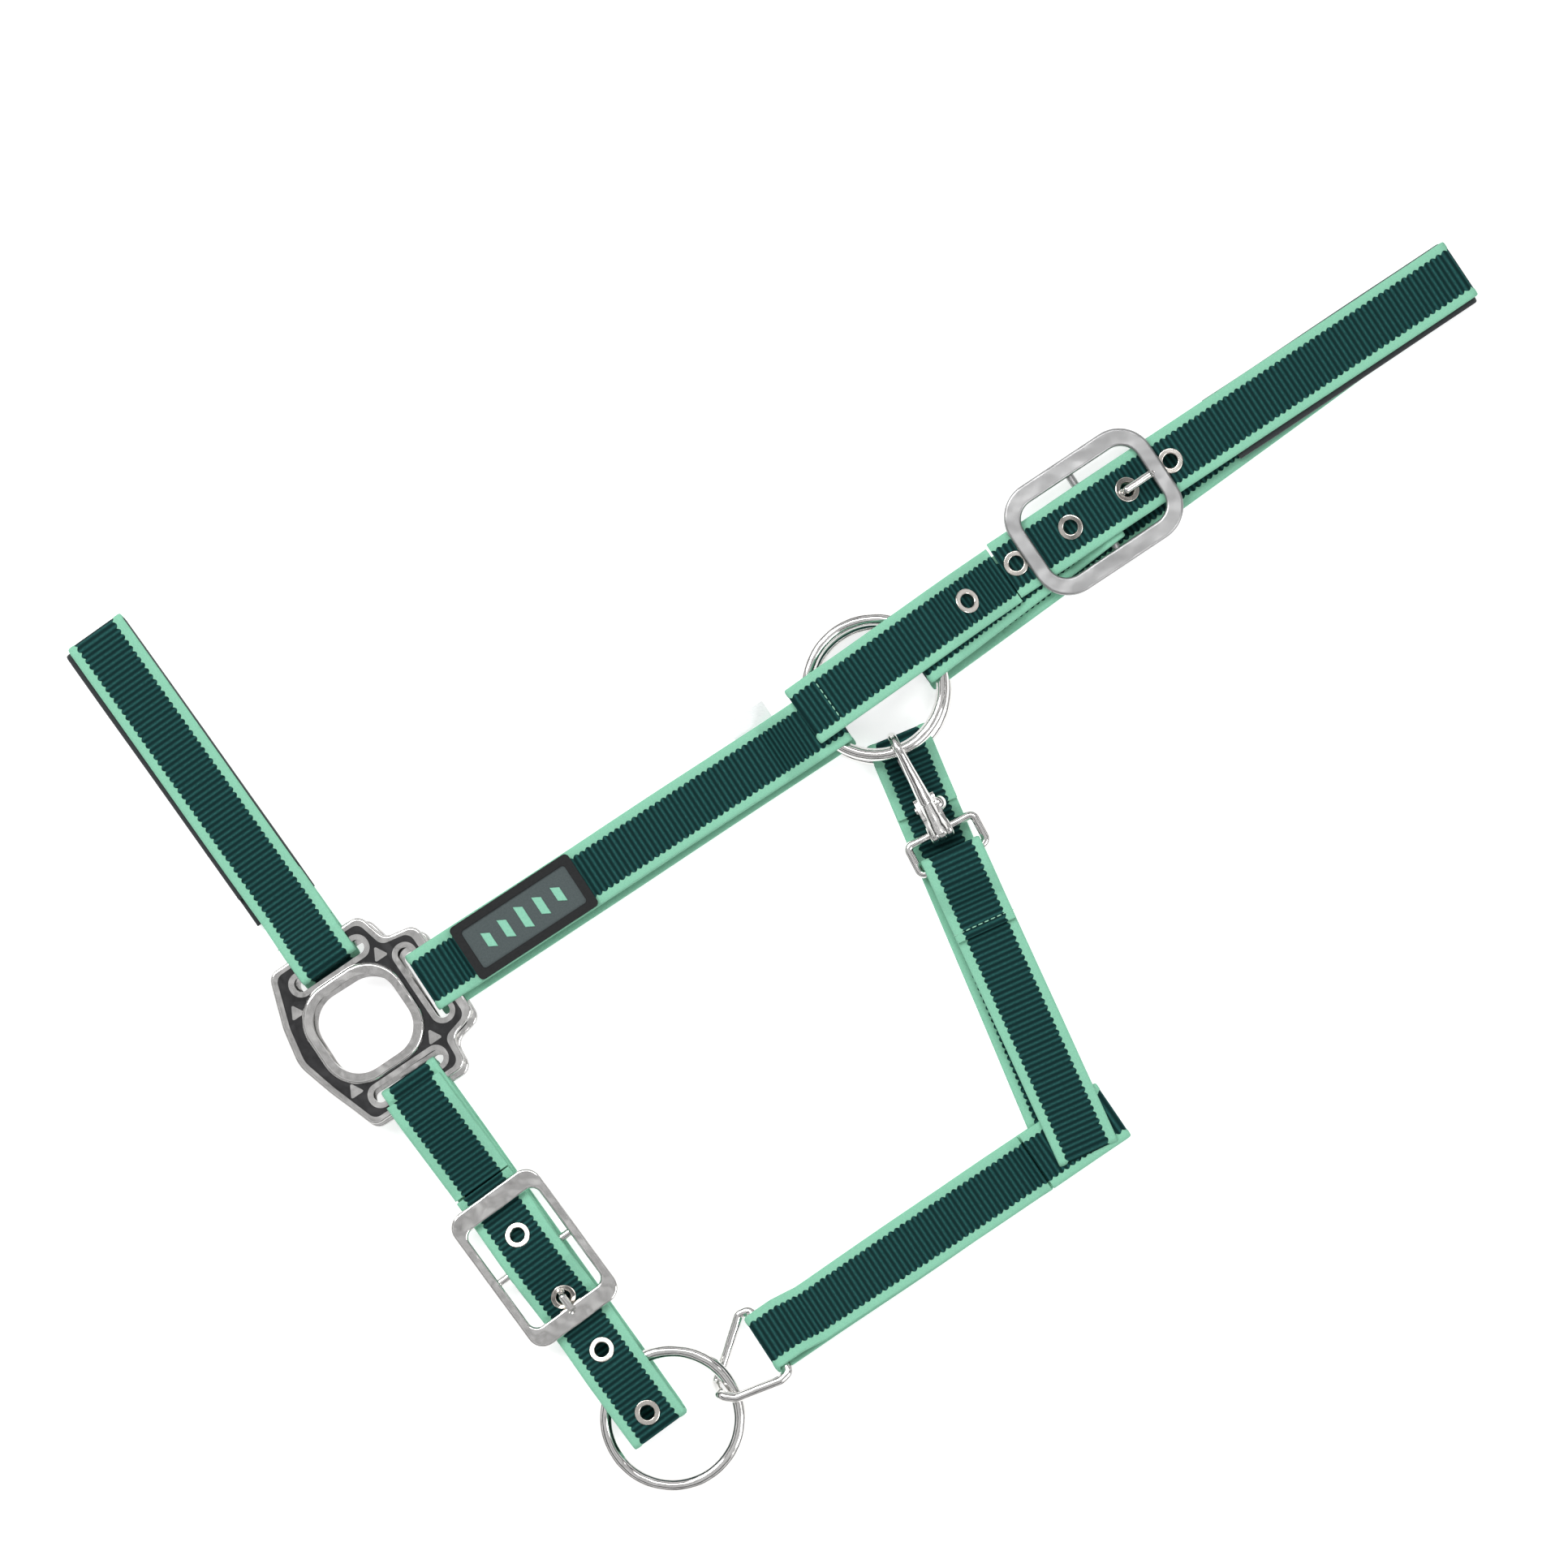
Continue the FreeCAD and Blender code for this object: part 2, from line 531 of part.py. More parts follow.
# Short strap from the near throat ring to the crown buckle's centre bar
short_start = (CROWN_BUCKLE[0] + 1.5, CROWN_BUCKLE[1] - 2.0)
short_turn = bearing(short_start, NEAR_RING)
short_long = distance(short_start, NEAR_RING) - RING_FOLD
bar_fold = CENTRE_BAR_R + 2 * SEAM + WEB_T / 2
fold_reach = -bar_fold - 1.0
SHORT_LOW = FAR_LOW + WEB_T + SEAM
SHORT_HIGH = SHORT_LOW + WEB_T + SEAM
RAMP_START = 47.0
ramp_end = short_long - 14.0
ramp_part = 13.0 / (ramp_end - RAMP_START)
lap_z = SHORT_LOW + (NEAR_RING_LOW - SHORT_LOW) * ramp_part
short_strap = strap([
    (RAMP_START + 13.0, lap_z), (RAMP_START, SHORT_LOW), (14.0, SHORT_LOW),
    (4.0, CENTRE_BAR_Z - bar_fold, 3.0), (fold_reach, CENTRE_BAR_Z - bar_fold, 1.7),
    (fold_reach, CENTRE_BAR_Z + bar_fold, 1.7), (4.0, CENTRE_BAR_Z + bar_fold, 3.0),
    (20.0, SHORT_HIGH), (RAMP_START, SHORT_HIGH), (ramp_end, NEAR_RING_HIGH),
    (short_long, NEAR_RING_HIGH, 1.7), (short_long, NEAR_RING_LOW, 1.7),
    (ramp_end, NEAR_RING_LOW), (RAMP_START + 14.0, lap_z + 0.3)], short_start, short_turn)
nodes["crown_buckle_strap"] = short_strap.cut(prong_gap(CROWN_BUCKLE, crown_turn))
nodes["crown_buckle_frame"] = buckle_frame(CROWN_BUCKLE, crown_turn, 68.0, 50.0, 6.5, 7.5, 15.0)
nodes["crown_buckle_prong"] = buckle_prong(CROWN_BUCKLE, crown_turn, CROWN_RISE, 29.5)

# Chin buckle and its short strap from the near square
chin_start = along(NEAR_SQUARE, SQUARE_TURN + 0.0, 3.6, -28.0)
chin_turn = bearing(CHIN_BUCKLE, CHIN_FOLD)
short_chin_turn = bearing(CHIN_BUCKLE, chin_start)
short_chin_long = distance(CHIN_BUCKLE, chin_start)
short_chin = strap([
    (48.0, SHORT_LOW), (14.0, SHORT_LOW), (4.0, CENTRE_BAR_Z - bar_fold, 3.0),
    (fold_reach, CENTRE_BAR_Z - bar_fold, 1.7), (fold_reach, CENTRE_BAR_Z + bar_fold, 1.7),
    (4.0, CENTRE_BAR_Z + bar_fold, 3.0), (20.0, SHORT_HIGH), (40.0, SHORT_HIGH),
    (short_chin_long - SLOT_BACK, NEAR_SQUARE_Z + BAR_STEP),
    (short_chin_long, NEAR_SQUARE_Z + BAR_STEP, 1.7),
    (short_chin_long, NEAR_SQUARE_Z - BAR_STEP, 1.7),
    (short_chin_long - 20.0, NEAR_SQUARE_Z - BAR_STEP)], CHIN_BUCKLE, short_chin_turn)
nodes["chin_buckle_strap"] = short_chin.cut(prong_gap(CHIN_BUCKLE, chin_turn))
nodes["chin_buckle_frame"] = buckle_frame(CHIN_BUCKLE, chin_turn, 65.0, 43.0, 8.5, 4.0, 7.0)
nodes["chin_buckle_prong"] = buckle_prong(CHIN_BUCKLE, chin_turn, CHIN_RISE, 28.0)

# Long chin strap: from the far square, through the lead ring and up through the buckle
CHIN_RING_HIGH = LEAD_RING_Z + 0.6 + RING_WIRE + 2 * MOVE + WEB_T / 2
chin_long = distance(CHIN_BUCKLE, CHIN_FOLD) - WEB_T / 2
far_chin_start = along(FAR_SQUARE, FAR_SQUARE_TURN, 3.6, -28.0)
far_chin_turn = bearing(CHIN_FOLD, far_chin_start)
far_chin_long = distance(CHIN_FOLD, far_chin_start)
CHIN_RAMP = (38.0, 54.0)
near_chin = strap([
    (-CHIN_HINGE, BUCKLE_WEB_Z), (-BUCKLE_WEB_S, BUCKLE_WEB_Z), (-BUCKLE_TOP_S, BUCKLE_TOP_Z),
    (BUCKLE_TOP_S, BUCKLE_TOP_Z), (BUCKLE_WEB_S, BUCKLE_WEB_Z), (CHIN_RAMP[0], BUCKLE_WEB_Z),
    (CHIN_RAMP[1], CHIN_RING_HIGH), (chin_long, CHIN_RING_HIGH, 1.7), (chin_long, FAR_LOW, 1.7),
    (chin_long - 20.0, FAR_LOW)], CHIN_BUCKLE, chin_turn)
far_chin = strap([
    (4.0, FAR_LOW), (far_chin_long, FAR_LOW, 1.7), (far_chin_long, FAR_SQUARE_Z + BAR_STEP, 1.7),
    (far_chin_long - SLOT_BACK, FAR_SQUARE_Z + BAR_STEP, 4.0),
    (far_chin_long - 22.0, FAR_HIGH), (far_chin_long - 27.0, FAR_HIGH)], CHIN_FOLD, far_chin_turn)
chin_web = join([near_chin, far_chin])
chin_slope = (CHIN_RING_HIGH - BUCKLE_WEB_Z) / (CHIN_RAMP[1] - CHIN_RAMP[0])
ramp_level = (BUCKLE_WEB_Z + (CHIN_EYELETS[2] - CHIN_RAMP[0]) * chin_slope,
              math.degrees(math.atan(chin_slope)))
chin_levels = [buckled_level(CHIN_EYELETS[0]), buckled_level(CHIN_EYELETS[1]), ramp_level,
               (CHIN_RING_HIGH, 0.0)]
chin_eyelets = []
for reach, level in zip(CHIN_EYELETS, chin_levels):
    chin_web = chin_web.cut(eyelet_hole(CHIN_BUCKLE, chin_turn, reach, level))
    chin_eyelets.append(eyelet(CHIN_BUCKLE, chin_turn, reach, level))
nodes["chin_strap"] = chin_web.cut(chin_eyelets)
nodes["chin_strap_eyelets"] = Part.makeCompound(chin_eyelets)
chin_tail_turn = bearing(CHIN_BUCKLE, CHIN_TAIL_END)
chin_tail_long = distance(CHIN_BUCKLE, CHIN_TAIL_END)
CHIN_TAIL_Z = NEAR_SQUARE_Z + BAR_STEP + WEB_T + MOVE
nodes["chin_tail"] = strap([
    (CHIN_HINGE + TAIL_GAP, BUCKLE_WEB_Z), (38.5, BUCKLE_WEB_Z), (73.0, CHIN_TAIL_Z),
    (chin_tail_long, CHIN_TAIL_Z)], CHIN_BUCKLE, chin_tail_turn)

# Throat strap, doubled back at its loop and looped round the far ring
throat_turn = bearing(LOOP_LOW_BAR, THROAT_FOLD)
throat_long = distance(LOOP_LOW_BAR, THROAT_FOLD) - WEB_T / 2
THROAT_LOW = LOOP_Z - LOOP_WIRE - MOVE - WEB_T / 2
THROAT_HIGH = LOOP_Z + LOOP_WIRE + MOVE + WEB_T / 2
loop_tip = -(LOOP_WIRE + 1.0 + WEB_T / 2)
FOLD_LOW = FAR_LOW + WEB_T + SEAM
FOLD_HIGH = FOLD_LOW + 2 * WEB_T + 0.2
near_throat = strap([
    (32.0, THROAT_LOW + WEB_T + SEAM), (20.0, THROAT_LOW + WEB_T + SEAM), (9.0, THROAT_HIGH),
    (loop_tip, THROAT_HIGH, 1.7), (loop_tip, THROAT_LOW, 1.7), (40.0, THROAT_LOW),
    (throat_long - 30.0, FOLD_HIGH), (throat_long, FOLD_HIGH, 1.8), (throat_long, FOLD_LOW, 1.8),
    (throat_long - 20.0, FOLD_LOW)], LOOP_LOW_BAR, throat_turn)
far_throat_turn = bearing(FAR_RING, FAR_THROAT_FOOT)
far_throat_long = distance(FAR_RING, FAR_THROAT_FOOT)
far_throat = strap([
    (52.0, FAR_HIGH), (42.0, FAR_HIGH), (29.0, FAR_RING_HIGH), (RING_FOLD, FAR_RING_HIGH, 1.7),
    (RING_FOLD, FAR_RING_LOW, 1.7), (far_throat_long - 45.0, FAR_LOW), (far_throat_long - 28.0, FOLD_LOW),
    (far_throat_long, FOLD_LOW)], FAR_RING, far_throat_turn)
nodes["throat_strap"] = join([near_throat, far_throat])

# Rectangular wire loop at the throat strap's upper end
loop_side = heading(LOOP_TURN - 90)
loop_up = heading(LOOP_TURN)
loop_base = ground(LOOP_LOW_BAR, LOOP_Z)
loop_corners = [loop_base + loop_side * (a * LOOP_HALF) + loop_up * (b * LOOP_REACH)
                for a, b in ((1, 0), (1, 1), (-1, 1), (-1, 0))]
nodes["throat_loop"] = bent_wire([(point, 2.4) for point in loop_corners], LOOP_WIRE)

# Snap hook: drawn with its eye at the origin, its length on X and its spine above
SNAP_HALF = 6.5
SNAP_TOP = 38.0
PIN = (11.0, -2.6)
snap_eye = loop_base + loop_up * LOOP_REACH
ACROSS = FreeCAD.Vector(0, 1, 0)


def snap_place(shape):
    shape.rotate(FreeCAD.Vector(0, 0, 0), ACROSS, -SNAP_PITCH)
    shape.rotate(FreeCAD.Vector(0, 0, 0), FreeCAD.Vector(0, 0, 1), LOOP_TURN)
    shape.translate(snap_eye)
    return shape


def upright(points, left, thick):
    """A plate standing along X, from a left face through its thickness."""
    shape = plate(outline(points), 0, thick)
    shape.rotate(FreeCAD.Vector(0, 0, 0), FreeCAD.Vector(1, 0, 0), 90)
    shape.translate(FreeCAD.Vector(0, left + thick, 0))
    return shape


def pin(radius, left, long):
    return Part.makeCylinder(radius, long, FreeCAD.Vector(PIN[0], left, PIN[1]), ACROSS)


def cone(start, end, radius, end_radius):
    run = end - start
    return Part.makeCone(radius, end_radius, run.Length, start, run)


def snap_body():
    """Two-lobed eye, thick neck tapering to the spine, hooked end, nose and thumb stud."""
    eye = Part.makeCylinder(4.3, 10.0, FreeCAD.Vector(0, -5.0, 0), ACROSS)
    eye = eye.makeFillet(1.2, [edge for edge in eye.Edges if edge.Closed])
    for left in (-1.7, 1.7):
        eye = eye.cut(Part.makeTorus(4.9, 0.9, FreeCAD.Vector(0, left, 0), ACROSS))
    bore = Part.makeCylinder(LOOP_WIRE + 0.3, 14.0, FreeCAD.Vector(0, -7, 0), ACROSS)
    spine = [FreeCAD.Vector(2.0, 0, 2.6), FreeCAD.Vector(16.0, 0, SNAP_HALF),
             FreeCAD.Vector(SNAP_TOP, 0, SNAP_HALF)]
    runs = [cone(spine[0], spine[1], 4.4, NECK_WIRE), Part.makeSphere(NECK_WIRE + 0.02, spine[1]),
            cone(spine[1], spine[2], NECK_WIRE, SNAP_WIRE)]
    bend = Part.makeTorus(SNAP_HALF, SNAP_WIRE, FreeCAD.Vector(SNAP_TOP, 0, 0), ACROSS)
    half = Part.makeBox(20.0, 10.0, 30.0, FreeCAD.Vector(SNAP_TOP, -5, -15))
    nose = rod(FreeCAD.Vector(SNAP_TOP, 0, -SNAP_HALF),
               FreeCAD.Vector(SNAP_TOP - 4.2, 0, -SNAP_HALF), SNAP_WIRE)
    profile = [(-1.0, -3.4, 1.4), (15.5, -5.5, 2.5), (17.5, 3.0, 2.5), (9.0, 7.0, 2.0),
               (-1.0, 3.6, 1.4)]
    cheeks = [upright(profile, left, 2.1) for left in (-4.5, 2.4)]
    stud = Part.makeSphere(3.4, FreeCAD.Vector(11.5, -4.2, 2.4))
    room = Part.makeBox(12.0, 4.8, 8.0, FreeCAD.Vector(7.0, -2.4, -6.6))
    shape = join([eye] + runs + [bend.common(half), nose] + cheeks + [stud])
    return shape.cut(bore).cut(pin(1.0, -10.0, 20.0)).cut(room)


def snap_gate():
    """Lever that shuts the jaw from inside the nose and turns on the rivet."""
    gate = upright([(8.8, -4.6, 1.0), (13.5, -4.8, 1.0), (33.0, -7.4, 0.5), (33.0, -4.8, 0.5),
                    (14.0, -1.0, 1.5), (8.8, -0.8, 1.5)], -2.3, 4.6)
    return gate.cut(pin(1.06, -10.0, 20.0))


nodes["snap_hook_body"] = snap_place(snap_body())
nodes["snap_hook_gate"] = snap_place(snap_gate())
rivet = join([pin(1.0, -4.5, 9.0), pin(1.8, -5.3, 0.8), pin(1.8, 4.5, 0.8)])
nodes["snap_hook_rivet"] = snap_place(rivet)

# Connecting strap, rolled at its link end and looped round the throat strap's fold
link_turn = 34.2
connect_long = 167.0
link_bar_z = WEB_T + MOVE + LINK_WIRE
LINK_HIGH = link_bar_z + LINK_WIRE + MOVE + WEB_T / 2
link_fold = -(LINK_WIRE + MOVE + WEB_T / 2)
LIFT = 0.5 * WEB * math.sin(math.radians(abs(LINK_ROLL))) + SEAM
TWIST_START = 26.0
TWIST_END = 110.0


def roll_turn(degrees):
    return FreeCAD.Rotation(heading(link_turn), degrees)


def bar_end():
    """The rolled end of the strap that folds round the link's base bar."""
    shape = strap([(TWIST_START, FAR_LOW), (link_fold, FAR_LOW, 1.7), (link_fold, LINK_HIGH, 1.7),
                   (9.0, LINK_HIGH), (20.0, FAR_HIGH), (TWIST_START, FAR_HIGH)],
                  LINK_BASE, link_turn)
    shape.rotate(ground(LINK_BASE, FAR_LOW), heading(link_turn), LINK_ROLL)
    shape.translate(FreeCAD.Vector(0, 0, LIFT))
    return shape


def twisted_layer(middle):
    """Webbing layer that unrolls from the link end to lie flat at the throat strap."""
    sections = []
    steps = 6
    for index in range(steps + 1):
        part = index / steps
        reach = TWIST_START + (TWIST_END - TWIST_START) * part
        turn = roll_turn(LINK_ROLL * (1 - part))
        base = ground(along(LINK_BASE, link_turn, reach), FAR_LOW + LIFT * (1 - part))
        left = turn.multVec(heading(link_turn + 90))
        up = turn.multVec(FreeCAD.Vector(0, 0, 1))
        points = [base + left * (a * WEB / 2) + up * (middle - FAR_LOW + b * WEB_T / 2)
                  for a, b in ((1, 1), (-1, 1), (-1, -1), (1, -1), (1, 1))]
        sections.append(Part.makePolygon(points))
    return Part.makeLoft(sections, True, True)


inside_fold = FOLD_LOW + WEB_T + 0.1
throat_end = strap([(TWIST_END, FAR_LOW), (connect_long, FAR_LOW, 1.7),
                    (connect_long, inside_fold, 1.7), (130.0, inside_fold),
                    (124.0, FAR_HIGH), (TWIST_END, FAR_HIGH)],
                   LINK_BASE, link_turn, bend=3.0)
clear = plate(outline([(127.0, -20.0, 1.0), (175.0, -20.0, 1.0), (175.0, -4.5, 1.0),
                       (135.0, -4.5, 2.0)]), FAR_LOW + WEB_T / 2 + SEAM, 6.0)
throat_end = throat_end.cut(lay(clear, LINK_BASE, link_turn))
nodes["connecting_strap"] = join([bar_end(), twisted_layer(FAR_LOW), twisted_layer(FAR_HIGH),
                                  throat_end])

# Triangular link: its base bar in the strap's fold, its apex round the lead ring's wire
LINK_HALF = 15.6
LINK_NECK = 5.0
GRIP = RING_WIRE + LINK_WIRE + 0.8
link_left = roll_turn(LINK_ROLL).multVec(heading(link_turn + 90))
link_up = roll_turn(LINK_ROLL).multVec(FreeCAD.Vector(0, 0, 1))
link_centre = ground(LINK_BASE, FAR_LOW + LIFT) + link_up * (link_bar_z - FAR_LOW)




def grip_point(spot, inward, rise):
    """A point beside the lead ring's wire: how far inside its middle line, and how far above."""
    tilt = FreeCAD.Rotation(heading(302.0), LEAD_RING_TILT)
    out = tilt.multVec(heading(spot))
    return ground(LEAD_RING, LEAD_RING_Z + rise) + out * (RING_R - inward)


neck = heading(link_turn) * LINK_NECK
near_end = link_centre - link_left * LINK_HALF
far_end = link_centre + link_left * LINK_HALF
nodes["lead_link"] = bent_wire([
    (near_end, 2.6), (far_end, 2.6), (far_end + link_left - neck, 2.4),
    (grip_point(44.0, 0.0, -GRIP), 2.6), (grip_point(37.0, GRIP, -GRIP), 3.0),
    (grip_point(26.0, GRIP, GRIP), 3.0), (grip_point(19.0, 0.0, GRIP), 2.6),
    (near_end - link_left - neck, 2.4)], LINK_WIRE)

# Origin at the middle of the whole, on the surface that it lies on
whole = Part.makeCompound(list(nodes.values())).BoundBox
to_origin = FreeCAD.Vector(-whole.Center.x, -whole.Center.y, -whole.ZMin)

for name, shape in nodes.items():
    shape.translate(to_origin)
    box = shape.BoundBox
    print(name, shape.isValid(), len(shape.Solids), round(shape.Volume),
          round(box.ZMin, 2), round(box.ZMax, 2))
    shape.exportStep("parts/" + name + ".step")
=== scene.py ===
import bpy
import math
from mathutils import Matrix, Vector, noise


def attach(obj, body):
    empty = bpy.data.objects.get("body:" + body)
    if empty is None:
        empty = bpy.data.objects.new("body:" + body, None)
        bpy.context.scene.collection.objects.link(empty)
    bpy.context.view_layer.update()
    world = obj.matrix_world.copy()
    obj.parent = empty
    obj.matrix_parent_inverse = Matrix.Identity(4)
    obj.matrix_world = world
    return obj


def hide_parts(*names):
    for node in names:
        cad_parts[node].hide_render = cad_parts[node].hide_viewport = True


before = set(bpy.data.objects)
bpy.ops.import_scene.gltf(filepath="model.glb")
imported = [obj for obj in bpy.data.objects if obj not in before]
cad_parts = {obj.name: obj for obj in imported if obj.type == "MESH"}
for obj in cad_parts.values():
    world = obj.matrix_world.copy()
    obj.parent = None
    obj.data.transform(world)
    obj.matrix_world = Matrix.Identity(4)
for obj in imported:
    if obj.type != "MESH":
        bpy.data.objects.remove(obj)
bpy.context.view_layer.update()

# Cob headcollar laid flat on its far side. Sizes below are millimetres, as on the bench;
# MM turns them into the frame's metres, and HOME is the step from the bench plan to the frame.
MM = 0.001
HOME = Vector((-0.848, 1.919, 0.012))

WEB = 26.0
WEB_T = 1.8
SEAM = 0.05
LINING = 28.5
LINING_T = 2.0
MOVE = 0.3
RING_WIRE = 2.6
RING_FOLD = 19.8
SLOT_BACK = 12.5
RIB = 2.3
SELVEDGE = 3.7
SCALLOP = 5.6
TIGHT = 1.7  # bend radius where webbing folds round a bar or ring

FAR_LOW = WEB_T / 2
FAR_HIGH = FAR_LOW + WEB_T + SEAM
NEAR_LOW = 8.3
NEAR_HIGH = NEAR_LOW + WEB_T + SEAM
TUNNEL = 2 * RING_WIRE + WEB_T + 2 * MOVE
FAR_RING_LOW = FAR_LOW
FAR_RING_HIGH = FAR_RING_LOW + TUNNEL
NEAR_RING_LOW = FAR_RING_HIGH + WEB_T + MOVE + 4.0
NEAR_RING_HIGH = NEAR_RING_LOW + TUNNEL
BAR_STEP = 1.7 + SEAM + WEB_T / 2
FAR_SQUARE_Z = FAR_LOW + BAR_STEP
NEAR_SQUARE_Z = FAR_SQUARE_Z + 2 * BAR_STEP + WEB_T + MOVE

NEAR_SQUARE = (-165.0, -64.4)
NEAR_TURN = 34.0
FAR_SQUARE = (-163.2, -65.8)
FAR_TURN = 32.5
NEAR_RING = (42.3, 71.9)
FAR_RING = (43.8, 70.2)
LEAD_RING_Z = 6.9
NOSE_FOLD = (-274.6, 94.6)
CROWN_FOLD = (280.3, 242.2)
CROWN_BUCKLE = (131.0, 142.9)
CROWN_TAIL_END = (13.0, 59.4)
CHIN_BUCKLE = (-95.4, -159.1)
CHIN_TAIL_END = (-144.2, -90.8)
CHIN_FOLD = (-43.9, -229.4)
LOOP_LOW_BAR = (74.75, 2.45)
LOOP_WIRE = 1.8
LOOP_Z = 7.9
THROAT_FOLD = (129.4, -117.6)
FAR_THROAT_FOOT = (121.5, -114.0)
LINK_BASE = (0.6, -193.7)
LINK_TURN = 34.2
LINK_ROLL = -22.0
LINK_WIRE = 2.1
CENTRE_BAR_R = 1.7
CENTRE_BAR_Z = 8.0
BUCKLE_WEB_Z = 7.0
BUCKLE_TOP_Z = CENTRE_BAR_Z + CENTRE_BAR_R + WEB_T + 3 * SEAM + WEB_T / 2
BUCKLE_TOP_S = 6.5
BUCKLE_WEB_S = 23.5
CROWN_HINGE = 43.4
CHIN_HINGE = 36.0
TAIL_GAP = 0.8

# Eyelets: reach along their strap from its buckle, and the holes cut for them
CROWN_EYELETS = (37.5, 16.0, -11.0, -37.5)
CHIN_EYELETS = (-11.2, 19.5, 46.4, 77.4)
TAIL_EYELET = 63.4
EYELET_HOLE = 3.4
PUNCH_LOW = BUCKLE_WEB_Z - 2.6
PUNCH_DEPTH = 30.0


# ---- plan geometry -------------------------------------------------------------------

def bearing(start, end):
    return math.degrees(math.atan2(end[1] - start[1], end[0] - start[0]))


def distance(start, end):
    return math.hypot(end[0] - start[0], end[1] - start[1])


def heading(turn):
    return Vector((math.cos(math.radians(turn)), math.sin(math.radians(turn)), 0.0))


def along(start, turn, reach, side=0.0):
    run = heading(turn)
    return (start[0] + run.x * reach - run.y * side, start[1] + run.y * reach + run.x * side)


def bend_line(path, bend, step):
    """Samples (reach, height, slope angle, length so far) of a path with rounded corners."""
    points = [Vector(p[:2]) for p in path]
    bends = [p[2] if len(p) == 3 else bend for p in path]
    spans = []
    start = points[0]
    for i in range(1, len(points)):
        if i == len(points) - 1:
            spans.append(("line", start, points[i]))
            break
        into = (points[i] - points[i - 1]).normalized()
        out = (points[i + 1] - points[i]).normalized()
        turn = math.atan2(into.x * out.y - into.y * out.x, into.dot(out))
        cut = bends[i] * math.tan(abs(turn) / 2)
        first = points[i] - into * cut
        spans.append(("line", start, first))
        if abs(turn) > 1e-6:
            side = 1 if turn > 0 else -1
            centre = first + Vector((-into.y, into.x)) * bends[i] * side
            spans.append(("arc", first, centre, turn, bends[i]))
        start = points[i] + out * cut
    samples = []
    length = 0.0
    for span in spans:
        if span[0] == "line":
            size = (span[2] - span[1]).length
            if size < 1e-6:
                continue
            run = (span[2] - span[1]) / size
            angle = math.atan2(run.y, run.x)
            count = max(1, round(size / step))
            for k in range(count):
                spot = span[1] + run * size * k / count
                samples.append((spot.x, spot.y, angle, length + size * k / count))
            length += size
            last = (span[2].x, span[2].y, angle)
        else:
            _, first, centre, turn, radius = span
            size = abs(turn) * radius
            arm = first - centre
            base = math.atan2(arm.y, arm.x)
            tangent = base + (math.pi / 2 if turn > 0 else -math.pi / 2)
            count = max(4, round(size / step))
            for k in range(count):
                a = turn * k / count
                spot = centre + Vector((math.cos(base + a), math.sin(base + a))) * radius
                samples.append((spot.x, spot.y, tangent + a, length + size * k / count))
            length += size
            last = (centre.x + math.cos(base + turn) * radius,
                    centre.y + math.sin(base + turn) * radius, tangent + turn)
    samples.append((last[0], last[1], last[2], length))
    return samples


# ---- webbing and lining --------------------------------------------------------------

def web_section(width, thick):
    """Half outline of the webbing's section: (across, height, rib weight), left edge to right."""
    half = width / 2
    edge = thick / 2
    flat = half - SELVEDGE
    side = [(half, 0.0, 0.0), (half - 0.12, edge * 0.62, 0.0), (half - 0.55, edge * 0.98, 0.1),
            (half - 1.5, edge * 1.12, 0.25), (flat + 0.9, edge * 1.1, 0.35),
            (flat, edge * 0.86, 0.6), (flat - 0.9, edge * 0.9, 1.0), (flat * 0.6, edge * 0.92, 1.0),
            (flat * 0.25, edge * 0.92, 1.0)]
    left = [(-a, h, w) for a, h, w in side]
    return left + side[::-1]


def ribbon(name, path, start, turn, width=WEB, thick=WEB_T, side=0.0, bend=5.0, rib=0.2,
           step=0.383, twist=None, phase=0.0):
    """Woven strap along a path. The UV map holds millimetres across and along the weave."""
    section = web_section(width, thick)
    samples = bend_line(path, bend, step)
    run = heading(turn)
    left = heading(turn + 90)
    count = len(section)
    ring = 2 * count - 2
    verts = []
    uvs = []
    for reach, height, angle, length in samples:
        up = Vector((-run.x * math.sin(angle), -run.y * math.sin(angle), math.cos(angle)))
        wave = abs(math.sin(math.pi * (length + phase) / RIB)) ** 0.8
        drift = noise.noise(Vector((length * 0.021, start[0], 0.3))) * 0.22
        base = Vector((start[0], start[1], 0)) + run * reach + Vector((0, 0, height))
        rows = []
        for across, rise, weight in section:
            lift = rise - rib * (1.0 - wave) * weight if rise else 0.0
            rows.append((across + drift, lift))
        loop = rows + [(a, -b) for a, b in rows[-2:0:-1]]
        for across, lift in loop:
            spot = base + left * (across + side) + up * lift
            if twist:
                spot = twist(spot, reach)
            verts.append((spot + HOME) * MM)
            uvs.append((across, length + phase))
    faces = []
    face_uv = []
    for i in range(len(samples) - 1):
        for j in range(ring):
            a = i * ring + j
            b = i * ring + (j + 1) % ring
            quad = (a, b, b + ring, a + ring)
            faces.append(quad[::-1])
            face_uv.extend([uvs[k] for k in quad[::-1]])
    for row, flip in ((0, False), (len(samples) - 1, True)):
        cap = [row * ring + j for j in range(ring)]
        cap = cap if not flip else cap[::-1]
        faces.append(cap)
        face_uv.extend([uvs[k] for k in cap])
    mesh = bpy.data.meshes.new(name)
    mesh.from_pydata(verts, [], faces)
    layer = mesh.uv_layers.new(name="weave")
    for k, uv in enumerate(face_uv):
        layer.data[k].uv = uv
    mesh.polygons.foreach_set("use_smooth", [True] * len(faces))
    mesh.update()
    piece = bpy.data.objects.new(name, mesh)
    bpy.context.scene.collection.objects.link(piece)
    return piece


